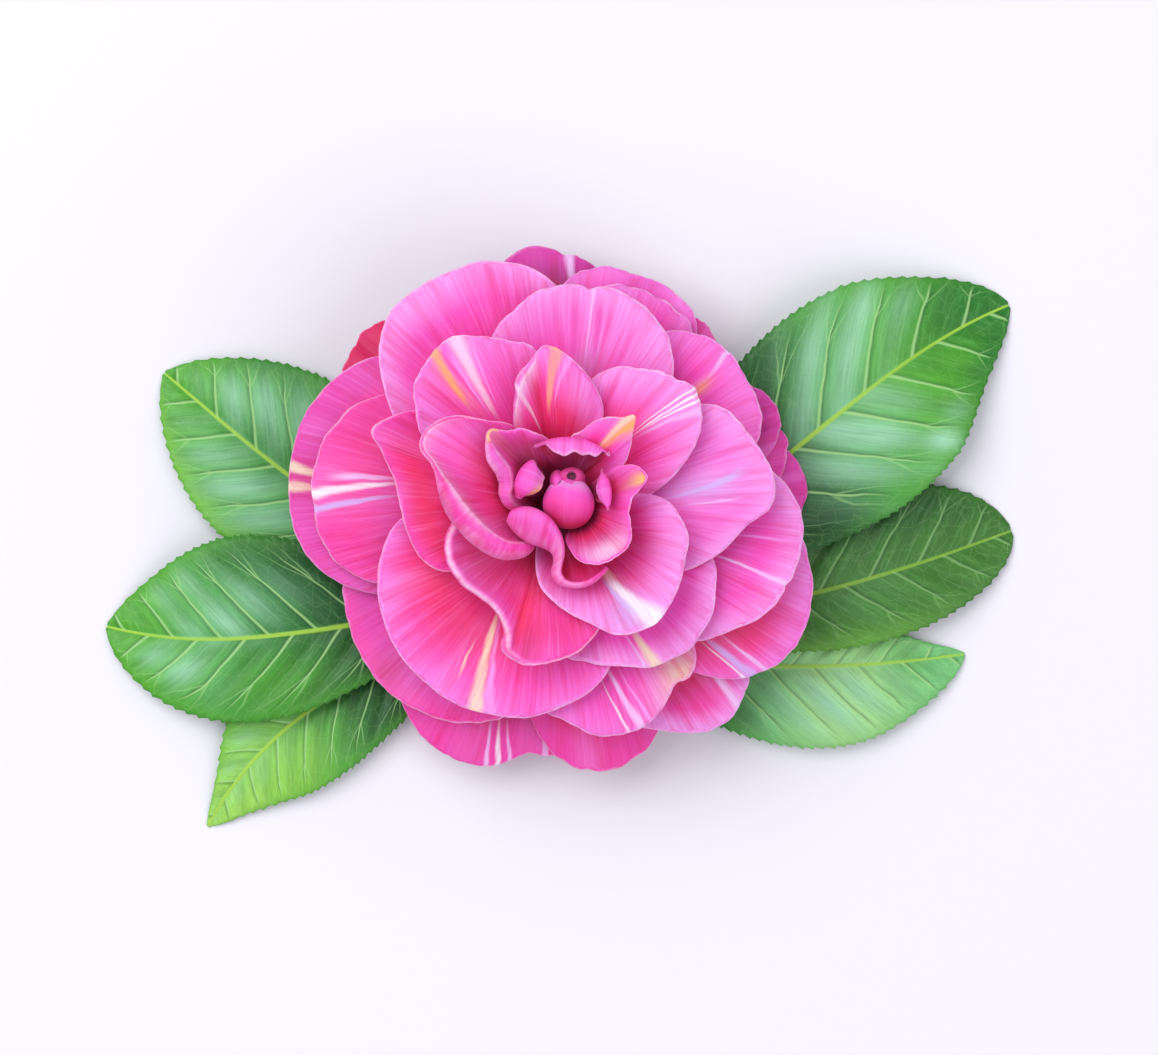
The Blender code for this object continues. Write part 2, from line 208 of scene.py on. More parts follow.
def petalFlesh(name, settings, streaks=()):
    # Living camellia petal, a soft water-filled skin with a satin surface. Its colour is the
    # petal's wash, which holds its painted shade and painted highlights, darker in fine veins that
    # fan from the foot and a little paler in broad clouds. Streaks are lines in the petal's own (u, v)
    # map: inside each line's half width the wash gives way to the streak's colour, and a slow wander
    # and the veins break its edges.
    # The veins are about 0.25 mm apart on a real petal, too fine to show: drawn 0.7 mm apart.
    material, tree = newMaterial(name)
    tint = node(tree, "Attribute", attribute_name="petalWash")
    across = node(tree, "UVMap", uv_map="petalMap")
    veinPlace = node(tree, "Mapping", {"Vector": across.outputs["UV"],
                                       "Scale": (1 / settings["veinSpacing"], 1 / settings["veinLength"], 1)})
    veins = node(tree, "TexNoise", {"Vector": veinPlace.outputs["Vector"], "Scale": 1.0, "Detail": 3.0,
                                    "Roughness": 0.6})
    place = node(tree, "TexCoord")
    clouds = node(tree, "TexNoise", {"Vector": place.outputs["Object"], "Scale": 1 / settings["cloudSize"],
                                     "Detail": 2.0, "Roughness": 0.5})
    cells = node(tree, "TexNoise", {"Vector": place.outputs["Object"], "Scale": 1 / settings["cellSize"],
                                    "Detail": 1.0, "Roughness": 0.5})
    veinShade = node(tree, "MapRange", {"Value": veins.outputs["Fac"], "From Min": 0.34, "From Max": 0.62,
                                        "To Min": settings["veinDepth"], "To Max": 0.0})
    rayPlace = node(tree, "Mapping", {"Vector": across.outputs["UV"],
                                      "Scale": (1 / settings["raySpacing"], 1 / settings["rayLength"], 1)})
    rays = node(tree, "TexNoise", {"Vector": rayPlace.outputs["Vector"], "Scale": 1.0, "Detail": 3.0,
                                   "Roughness": 0.55})
    rayShade = node(tree, "MapRange", {"Value": rays.outputs["Fac"], "From Min": 0.3, "From Max": 0.52,
                                       "To Min": settings["rayDepth"], "To Max": 0.0})
    rayed = node(tree, "Mix", {"Factor": rayShade.outputs["Result"], "A": tint.outputs["Color"],
                               "B": rgba(settings["rayColour"])}, data_type="RGBA", blend_type="MULTIPLY")
    veined = node(tree, "Mix", {"Factor": veinShade.outputs["Result"], "A": rayed.outputs["Result"],
                                "B": rgba(settings["veinColour"])}, data_type="RGBA", blend_type="MULTIPLY")
    paleLine = node(tree, "MapRange", {"Value": veins.outputs["Fac"], "From Min": 0.55, "From Max": 0.75,
                                       "To Min": 0.0, "To Max": settings["paleLines"]})
    lined = node(tree, "Mix", {"Factor": paleLine.outputs["Result"], "A": veined.outputs["Result"],
                                "B": rgba(settings["cloudColour"])}, data_type="RGBA")
    cloudPart = node(tree, "MapRange", {"Value": clouds.outputs["Fac"], "From Min": 0.42, "From Max": 0.72,
                                        "To Min": 0.0, "To Max": settings["cloudDepth"]})
    colour = node(tree, "Mix", {"Factor": cloudPart.outputs["Result"], "A": lined.outputs["Result"],
                                "B": rgba(settings["cloudColour"])}, data_type="RGBA")
    if streaks:
        petalPlace = node(tree, "UVMap", uv_map="petalPlace")
        parted = node(tree, "SeparateXYZ", {"Vector": petalPlace.outputs["UV"]})
        wanderPlace = node(tree, "Mapping", {"Vector": petalPlace.outputs["UV"], "Scale": (9, 6, 1)})
        wander = node(tree, "TexNoise",
                      {"Vector": wanderPlace.outputs["Vector"], "Scale": 1.0, "Detail": 3.0})
        shifted = node(tree, "Math", {0: wander.outputs["Fac"], 1: settings["streakWander"],
                                      2: parted.outputs["X"]}, operation="MULTIPLY_ADD")
        veinBreak = node(tree, "MapRange", {"Value": veins.outputs["Fac"], "From Min": 0.35, "From Max": 0.55,
                                            "To Min": 0.7, "To Max": 1.0})
    for nearU, farU, halfWidth, start, end, shade, part in streaks:
        centre = node(tree, "MapRange", {"Value": parted.outputs["Y"], "From Min": start, "From Max": end,
                                         "To Min": nearU + settings["streakWander"] / 2,
                                         "To Max": farU + settings["streakWander"] / 2})
        width = node(tree, "MapRange", {"Value": parted.outputs["Y"], "From Min": start, "From Max": end,
                                        "To Min": 0.5 * halfWidth, "To Max": halfWidth})
        away = node(tree, "Math", {0: shifted.outputs["Value"], 1: centre.outputs["Result"]},
                    operation="SUBTRACT")
        far = node(tree, "Math", {0: away.outputs["Value"]}, operation="ABSOLUTE")
        share = node(tree, "Math", {0: far.outputs["Value"], 1: width.outputs["Result"]}, operation="DIVIDE")
        line = node(tree, "MapRange", {"Value": share.outputs["Value"], "From Min": 0.25, "From Max": 1.5,
                                       "To Min": part, "To Max": 0.0}, interpolation_type="SMOOTHSTEP")
        begin = node(tree, "MapRange", {"Value": parted.outputs["Y"], "From Min": start - 0.04,
                                        "From Max": start + 0.16}, interpolation_type="SMOOTHSTEP")
        cease = node(tree, "MapRange", {"Value": parted.outputs["Y"], "From Min": end - 0.1 + (end >= 1) * 9,
                                        "From Max": end + 0.05 + (end >= 1) * 9, "To Min": 1.0,
                                        "To Max": 0.0},
                     interpolation_type="SMOOTHSTEP")
        inRange = node(tree, "Math", {0: begin.outputs["Result"], 1: cease.outputs["Result"]},
                       operation="MULTIPLY")
        cover = node(tree, "Math", {0: line.outputs["Result"], 1: inRange.outputs["Value"]},
                     operation="MULTIPLY")
        broken = node(tree, "Math", {0: cover.outputs["Value"], 1: veinBreak.outputs["Result"]},
                      operation="MULTIPLY")
        colour = node(tree, "Mix", {"Factor": broken.outputs["Value"], "A": colour.outputs["Result"],
                                    "B": rgba(shade)}, data_type="RGBA")
    rough = node(tree, "MapRange", {"Value": clouds.outputs["Fac"], "From Min": 0.3, "From Max": 0.7,
                                    "To Min": settings["roughness"] - 0.07,
                                    "To Max": settings["roughness"] + 0.08})
    relief = node(tree, "Math", {0: cells.outputs["Fac"], 1: 0.35, 2: veins.outputs["Fac"]},
                  operation="MULTIPLY_ADD")
    bump = node(tree, "Bump", {"Height": relief.outputs["Value"], "Strength": settings["bumpStrength"],
                               "Distance": settings["bumpHeight"]})
    skin = node(tree, "BsdfPrincipled", {
        "Base Color": colour.outputs["Result"], "Roughness": rough.outputs["Result"],
        "Normal": bump.outputs["Normal"], "IOR": 1.38, "Specular IOR Level": 0.35,
        "Subsurface Weight": settings["glow"], "Subsurface Radius": (1.0, 0.32, 0.5),
        "Subsurface Scale": 0.0016, "Sheen Weight": settings["sheen"], "Sheen Roughness": 0.45,
        "Sheen Tint": (1.0, 0.86, 0.98, 1)})
    node(tree, "OutputMaterial", {"Surface": skin.outputs["BSDF"]})
    return material


petalSkin = {
    "veinSpacing": 0.7, "veinLength": 20.0, "veinDepth": 0.34, "veinColour": "magenta", "paleLines": 0.22,
    "raySpacing": 2.6, "rayLength": 30.0, "rayDepth": 0.42, "rayColour": "rose",
    "cloudSize": 0.009, "cloudDepth": 0.08, "cloudColour": "lilac", "cellSize": 0.0006,
    "streakWander": 0.035, "roughness": 0.5, "bumpStrength": 0.3, "bumpHeight": 0.00015,
    "glow": 0.12, "sheen": 0.05,
}
backSkin = dict(petalSkin, cloudColour="mauve", cloudDepth=0.18)
sepalSkin = dict(petalSkin, veinColour="sepal", cloudColour="sepalTip", sheen=0.12, glow=0.05, roughness=0.55)
print("petal skins set")

# the family of bowls that every petal is a patch of, by level from lowest to highest
bowl = {
    "levels": (0.0, 0.25, 0.5, 0.75, 1.0),
    "footRadius": (7.0, 5.9, 4.8, 3.6, 2.4),
    "footHeight": (15.0, 19.0, 23.0, 27.5, 32.0),
    "rise": (3.0, 12.0, 18.0, 21.0, 22.0),
    "curve": (12.0, 18.0, 13.0, 9.5, 6.0),
    "droop": (7.5, 2.0, 0.5, 0.0, 0.0),
    "claw": (2.2, 2.0, 1.8, 1.6, 1.4),      # half the width of a petal's foot
    "droopReach": 41.5, "sepalStep": 15.0, "spread": 0.8, "gap": 0.3,
    "axisFoot": (-1.7, 5.9), "axisFootHeight": 15.0, "axisLean": (0.137, 0.098),
}


def atLevel(key, level):
    return float(np.interp(level, bowl["levels"], bowl[key]))


def axisPoint(height):
    return np.array(bowl["axisFoot"]) + np.multiply.outer(
        np.asarray(height) - bowl["axisFootHeight"], np.array(bowl["axisLean"]))


def bowlHeight(reach, level):
    # a climb that eases off with distance from the axis, less a slow droop
    run = np.maximum(reach - atLevel("footRadius", level), 0)
    return (atLevel("footHeight", level) + min(level, 0) * bowl["sepalStep"]
            + atLevel("rise", level) * (1 - np.exp(-run / atLevel("curve", level)))
            - atLevel("droop", level) * (run / bowl["droopReach"]) ** 2)


petalShape = {
    "columns": 64, "rows": 40, "curlRows": 8, "suffix": "_petal",
    "curl": (1.0, 48),            # rolled margin: its length and how far it turns, in degrees
    "thickness": (0.5, 0.4, 0.15),   # at the foot, the middle and the rim
    "ruffle": (0.45, 2.4), "pleats": (0.2, 11), "uneven": 0.32, "ragged": 0.25, "fray": 0.1,
    "lift": 0.0, "tilt": 0.0, "fold": 1.1, "liftPower": 2.5, "curlFade": 0.4, "fadePower": 6, "square": 0.0,
    "softening": 12,
    # the pale margin (edge, edgePart) is a painted highlight along the rim
    "washFrom": 0.5, "bands": (4.5, 0.35, 0.3), "edge": "rimWhite", "edgePart": 0.45, "underPart": 0.35,
    "fittings": 3, "fittingShare": 0.9,
}


def softened(values, times):
    # each value moved towards the mean of its two neighbours, over and over
    for again in range(times):
        values = np.concatenate([values[:1], (values[:-2] + 2 * values[1:-1] + values[2:]) / 4, values[-1:]])
    return values


def petalSheet(look, seed, inset):
    # A petal is a patch of its bowl between its foot and its outline, u across and v outward. It is
    # moved along its normal by ruffles, pleats and creases, and its margin carries on as a scroll
    # that turns down, or up if its turn is negative. The outline is drawn in by inset.
    rows = look["rows"]
    u = np.linspace(-1, 1, look["columns"])[None, :]
    v = np.linspace(0, 1, rows)[:, None]
    level = look["level"]
    outline = smoothCurve(look["rim"], (u[0] + 1) / 2)
    rimAngle, target = np.radians(outline[:, 0])[None, :], outline[:, 1][None, :]
    target = target + look["ragged"] * ripple(seed, u * 3.1, 0, 6) * (1 - u ** 8)
    target = target + look["fray"] * ripple(seed + 30, u * 11, 0, 6) * (1 - u ** 8)
    for centre, halfWidth, amount in look.get("lobes", ()):
        target = target + amount * hill(u, centre, halfWidth)
    curlLength, curlTurn = look["curl"]
    curlLength = curlLength + 0 * u
    curlTurn = np.radians(curlTurn) * (1 + 0.5 * ripple(seed + 70, u * 2.5, 0, 3))
    for centre, halfWidth, length, turn in look.get("rolls", ()):
        part = 1 - smoothStep(0.55, 1.2, np.abs(u - centre) / halfWidth)
        curlLength = curlLength + length * part
        curlTurn = curlTurn + np.radians(turn) * part
    curlLength = curlLength * (1 - look["curlFade"] * np.abs(u) ** look["fadePower"])
    footReach = atLevel("footRadius", level) + bowl["gap"]
    footAngle = look.get("footAngle", np.radians(outline[:, 0]).mean())
    footAngle = footAngle + u * atLevel("claw", level) / footReach
    spread = np.sin(v * np.pi / 2) ** bowl["spread"]
    angle = footAngle + (rimAngle - footAngle) * spread
    reach = footReach + (target - inset - footReach) * v
    height = bowlHeight(reach, level)
    height = height + look["lift"] * v ** 3 + look["tilt"] * u * v ** 2
    for centre, halfWidth, amount in look.get("lifts", ()):
        height = height + amount * hill(u, centre, halfWidth) * v ** look["liftPower"]
    sheet = np.stack([*np.moveaxis(axisPoint(height), -1, 0), height], axis=-1)
    sheet[..., 0] += reach * np.cos(angle)
    sheet[..., 1] += reach * np.sin(angle)
    ruffleHeight, ruffleWaves = look["ruffle"]
    pleatDepth, pleatPace = look["pleats"]
    move = ruffleHeight * np.sin(np.pi * ruffleWaves * u + 2.1 * seed) * v ** 3
    move = move + pleatDepth * ripple(seed + 50, u * pleatPace, v * 1.2, 2.6) * smoothStep(0.45, 0.95, v)
    move = move + look["uneven"] * ripple(seed + 90, u * 1.6, v * 1.8, 2.2) * smoothStep(0.1, 0.5, v)
    for centre, halfWidth, amount in look.get("creases", ()):
        move = move + amount * np.exp(-np.abs(u - centre) / halfWidth) * smoothStep(0.15, 0.7, v)
    sheet = sheet + sheetNormals(sheet) * move[..., None]
    steps = look["curlRows"]
    outward = unit(sheet[-1] - sheet[-3])
    upward = unit(softened(unit(sheetNormals(sheet)[-1]), look["softening"]))
    squareOut = unit(np.cross(np.gradient(sheet[-1], axis=0), upward))
    outward = unit(softened(outward + (squareOut - outward) * look["square"], look["softening"]))
    outward = unit(outward - upward * (outward * upward).sum(-1, keepdims=True))
    part = (np.arange(1, steps + 1)[:, None] - 0.5) / steps
    heading = (curlTurn * part ** look["fold"])[..., None]
    stride = (curlLength / steps)[..., None]
    travel = np.cumsum(stride * (np.cos(heading) * outward - np.sin(heading) * upward), axis=0)
    sheet = np.concatenate([sheet, sheet[-1:] + travel])
    vFull = np.concatenate([v * np.ones_like(u),
                            1 + np.arange(1, steps + 1)[:, None] / steps * np.ones_like(u)])
    # how far the scroll stands out past the outline, seen from above
    plan = sheet[..., :2] - axisPoint(sheet[..., 2])
    excess = np.linalg.norm(plan, axis=-1).max(axis=0) - target[0]
    return sheet, u * np.ones_like(vFull), vFull, excess


def fittedSheet(spec, seed):
    # the sheet is drawn in three times by most of what its rolled margin stood out, then made again
    look = dict(petalShape, **spec)
    inset = np.zeros(look["columns"])
    for again in range(look["fittings"]):
        inset = inset + petalSheet(look, seed, inset[None, :])[3] * look["fittingShare"]
    return look, *petalSheet(look, seed, inset[None, :])[:3]


def aroundAxis(points, height):
    # azimuth, reach and height round the axis of the bloom, as x, y and z
    azimuth, reach, level = np.moveaxis(np.asarray(points, float), -1, 0)
    centre, turn = axisPoint(height), np.radians(azimuth)
    return np.stack([centre[0] + reach * np.cos(turn), centre[1] + reach * np.sin(turn), level], axis=-1)


def foldedSheet(spec, seed):
    # A petal given by the two edges of its folded margin. Each line from the foot is two Bezier
    # arcs: the wall leaves the foot outward and reaches the inner edge rising, then the fold goes
    # on upward by its crest, turns over and comes down to the outer edge.
    look = dict(petalShape, **spec)
    u = np.linspace(-1, 1, look["columns"])
    place = (u + 1) / 2
    inner = softened(smoothCurve(aroundAxis(look["innerEdge"], look["axisHeight"]), place), 3)
    outer = softened(smoothCurve(aroundAxis(look["outerEdge"], look["axisHeight"]), place), 3)
    crest = smoothCurve(np.array(look["crestRise"], float)[:, None], place)
    foot = smoothCurve(aroundAxis(look["footEdge"], look["axisHeight"]), place)
    upward = np.array([0.0, 0.0, 1.0])
    outward = unit((inner - foot) * (1, 1, 0))
    climb = (inner[:, 2:] - foot[:, 2:])
    lean = outward * smoothCurve(np.array(look["lean"], float)[:, None], place)
    wallArc = (foot, foot + outward * look["belly"] + upward * 0.5, inner - upward * climb * 0.45 + lean,
               inner)
    foldArc = (inner, inner + upward * crest * 1.1 - lean * 0.25, outer + upward * crest * 1.5, outer)
    sheets = []
    for knots, steps in ((wallArc, look["rows"]), (foldArc, look["curlRows"] + 1)):
        sheets.append(bezier(np.linspace(0, 1, steps)[:, None, None], knots))
    sheet = np.concatenate([sheets[0], sheets[1][1:]])
    v = np.concatenate([np.linspace(0, 1, look["rows"]),
                        1 + np.arange(1, look["curlRows"] + 1) / look["curlRows"]])
    v = v[:, None] + 0 * u[None, :]
    u = u[None, :] + 0 * v
    move = look["uneven"] * ripple(seed, u * 2.5, v * 1.5, 2.5) * smoothStep(0.2, 0.6, v)
    return look, sheet + sheetNormals(sheet) * move[..., None], u, v


def petalWashes(look, u, v, seed):
    # Colours from the throat to the rim at even steps of v, deep at the throat partly in the petal's
    # own red and partly as painted shade where the petals above overlap it, broken by broad bands that
    # fan from the foot; then soft patches, some of them painted shade in hollows and folds, the pale
    # thin margin as a painted highlight, and lines along the crest of a rolled rim: the pale ones
    # painted highlights, the dark ones painted shade on the roll's outer side, some the petal's own colour.
    rise = np.clip(v, 0, 1)
    names = look["wash"]
    stops = np.linspace(look["washFrom"], 0.98, len(names))
    wash = washAlong(names, stops, rise + 0.035 * ripple(seed + 11, u * 2.2, v, 2.5))
    pace, deepPart, palePart = look["bands"]
    band = ripple(seed + 21, u * pace, v * 0.7, 2.6)
    deep = deepPart * smoothStep(0.0, 0.9, band) * (1 - 0.55 * smoothStep(0.6, 1.0, rise))
    pale = palePart * smoothStep(0.0, 0.9, -band) * smoothStep(0.45, 1.0, rise)
    wash = stained(stained(wash, names[0], deep), "lilac", pale)
    wash = dabbed(wash, u, v, look.get("patches", ()))
    # painted highlight: the pale thin margin along the rim
    edge = smoothStep(1.45, 1.9, v + 0.15 * ripple(seed + 5, u * 8, 0, 5)) * look["edgePart"]
    wash = stained(wash, look["edge"], edge)
    # painted highlights and painted shade along a rolled rim's crest, with some of the petal's own colour
    for centreU, wideU, low, high, name, part in look.get("crests", ()):
        nearby = 1 - smoothStep(0.6, 1.2, np.abs(u - centreU) / wideU)
        wash = stained(wash, name, part * nearby * hill(v, (low + high) / 2, (high - low) / 2))
    return wash


def makePetal(name, spec, skin, seed):
    # the fitted sheet given thickness, its wash on its points and its streaks in its own material
    look, sheet, u, v = (foldedSheet if "innerEdge" in spec else fittedSheet)(spec, seed)
    wash = petalWashes(look, u, v, seed)
    foot, middle, rim = look["thickness"]
    rise = np.clip(v, 0, 1)
    thickness = np.where(rise < 0.5, foot + (middle - foot) * rise * 2,
                         middle + (rim - middle) * (rise * 2 - 1) ** 2)
    points, faces = shellParts(sheet, thickness)
    width = np.linalg.norm(np.diff(sheet[-1], axis=0), axis=1).sum()
    length = np.linalg.norm(np.diff(sheet[:, sheet.shape[1] // 2], axis=0), axis=1).sum()
    inMillimetres = np.stack([u * width / 2 + mapStep * seed, v * length], axis=-1).reshape(-1, 2)
    inPetal = np.stack([u, v], axis=-1).reshape(-1, 2)
    under = wash + (palette[look.get("under", "orchid")] - wash) * look["underPart"]
    material = petalFlesh(name + "_skin", skin, look.get("streaks", ()))
    return meshPiece(
        name + look["suffix"], points, faces, [name], material,
        maps={"petalMap": np.concatenate([inMillimetres, inMillimetres + undersideShift]),
              "petalPlace": np.tile(inPetal, (2, 1))},
        tints={"petalWash": np.concatenate([wash.reshape(-1, 3), under.reshape(-1, 3)])})


# Each petal: its level, then azimuth (degrees) and reach (mm) at evenly spaced places along its
# outline, and its wash from throat to rim. A streak is u at its start and end, half width, v at its
# start and end, colour and part. A patch is u, v, its size along both, colour and part. A crest is
# u, half width, v from and to, colour and part. Lobes, lifts and creases are u, half width and
# amount; rolls are u, half width, added curl and added turn. The edges of tongue_front are azimuth,
# reach and height round the axis of the bloom, and its lean and crestRise run along them.
# Pale crests and the pale margin are painted highlights; dark crests and the dark patches noted below are
# painted shade.
backPetals = {
    "back_left": {
        "level": 0.03, "rim": ((120, 38), (127, 46), (134, 49.5), (141, 49), (148, 47), (158, 39)),
        "wash": ("wine", "ruby", "crimson", "crimson"), "edgePart": 0.3},
    "back_top": {
        "level": 0.03, "rim": ((69, 40), (77, 46.5), (84, 49.4), (92, 50.5), (100, 48.8), (106, 45),
                               (112, 39)),
        "wash": ("deepWine", "wine", "plum", "mauve"), "lobes": ((-0.22, 0.06, -0.7), (0.1, 0.2, 0.8)),
        "edgePart": 0.3,
        "patches": ((-0.7, 0.85, 0.2, 0.3, "deepWine", 0.6), (0.45, 0.95, 0.4, 0.1, "mauve", 0.6)),
        "streaks": ((-0.36, -0.27, 0.05, 0.78, 1.0, "paleLilac", 0.9),)},
    "back_top_right": {
        "level": 0.078, "rim": ((45, 36), (52, 45), (61, 48), (70, 47.8), (79, 47.3), (86, 44),
                                (92, 38)),
        "wash": ("raspberry", "magenta", "vivid", "orchid")},
    "back_right_high": {
        "level": 0.0, "rim": ((34, 36), (42, 44), (48, 47), (54, 46.5), (60, 43), (66, 36)),
        "wash": ("ruby", "magenta", "hotPink"), "edgePart": 0.3},
    "back_right_upper": {
        "level": 0.09, "rim": ((8, 36), (15, 44), (22, 47.3), (28, 46.5), (35, 42), (43, 35)),
        "wash": ("wine", "plum", "mauve"), "edgePart": 0.3},
    "back_right_middle": {
        "level": 0.045, "rim": ((-4, 37), (6, 44), (13, 47), (18, 47.5), (25, 43), (33, 36)),
        "wash": ("berry", "mauve", "magenta"), "edgePart": 0.3},
    "back_right_lower": {
        "level": 0.0, "rim": ((-16, 39), (-5, 47), (2, 50), (8, 50.3), (15, 47), (26, 37)),
        "wash": ("wine", "mauve", "magenta"), "edgePart": 0.3},
    "back_bottom_left": {
        "level": 0.01, "rim": ((222, 39), (230, 45.5), (240, 50), (250, 51.5), (258, 50.3),
                               (265, 47.5), (272, 47), (279, 38)),
        "wash": ("ruby", "raspberry", "hotPink", "hotPink"), "edgePart": 0.4,
        "streaks": ((0.0, 0.08, 0.02, 0.78, 1.0, "paleLilac", 0.9),
                    (0.08, 0.17, 0.022, 0.78, 1.0, "white", 0.9),
                    (0.16, 0.27, 0.018, 0.8, 1.0, "paleLilac", 0.85),
                    (0.56, 0.60, 0.03, 0.76, 1.0, "paleLilac", 0.9))},
    "back_bottom_right": {
        "level": 0.055, "rim": ((262, 38), (268, 45), (274, 49.5), (281, 51.7), (288, 51),
                                (296, 47.5), (305, 39)),
        "wash": ("crimson", "rose", "hotPink", "hotPink"), "edgePart": 0.4},
}
outerPetals = {
    "outer_left_low": {
        "level": 0.09, "rim": ((190, 36), (200, 43), (212, 45.7), (224, 47.5), (236, 47), (248, 45),
                               (258, 41), (266, 34)),
        "wash": ("raspberry", "magenta", "magenta", "hotPink"),
        "patches": ((-0.12, 0.95, 0.10, 0.1, "ruby", 0.5),)},
    "outer_left": {
        "level": 0.14, "rim": ((131, 36), (141, 45), (153, 49.6), (165, 51.2), (178, 51), (190, 49),
                               (200, 44), (209, 36)),
        "wash": ("rose", "hotPink", "magenta", "magenta"),
        "patches": ((0.05, 1.0, 0.10, 0.4, "berry", 0.6),),
        "streaks": ((0.03, 0.0, 0.028, 0.82, 1.0, "cream", 0.95),
                    (0.11, 0.095, 0.025, 0.82, 1.0, "cream", 0.9))},
    "outer_bottom_right": {
        "level": 0.10, "rim": ((283, 36), (290, 44.5), (298, 49), (306, 53), (314, 52.5),
                               (322, 48), (331, 39)),
        "wash": ("crimson", "raspberry", "hotPink", "lilac"),
        "streaks": ((0.36, 0.30, 0.045, 0.7, 1.0, "paleLilac", 0.85),)},
    "outer_right_low": {
        "level": 0.15, "rim": ((-53, 39), (-44, 48), (-36, 52.5), (-28, 53.8), (-20, 52.8),
                               (-11, 49.5), (-3, 45), (4, 38)),
        "wash": ("crimson", "rose", "hotPink", "orchid"),
        "patches": ((-0.3, 0.85, 0.25, 0.1, "red", 0.5), (0.3, 0.95, 0.4, 0.12, "lilac", 0.35)),
        "streaks": ((-0.66, -0.60, 0.045, 0.72, 1.0, "blueLilac", 0.95),
                    (-0.715, -0.66, 0.012, 0.74, 1.0, "white", 0.8),
                    (-0.52, -0.50, 0.018, 0.76, 1.0, "paleLilac", 0.85))},
    "outer_top_right": {
        "level": 0.125, "rim": ((44, 34), (51, 42.5), (59, 44.5), (67, 45), (75, 44), (82, 41),
                                (88, 35)),
        "wash": ("raspberry", "magenta", "vivid", "orchid")},
}
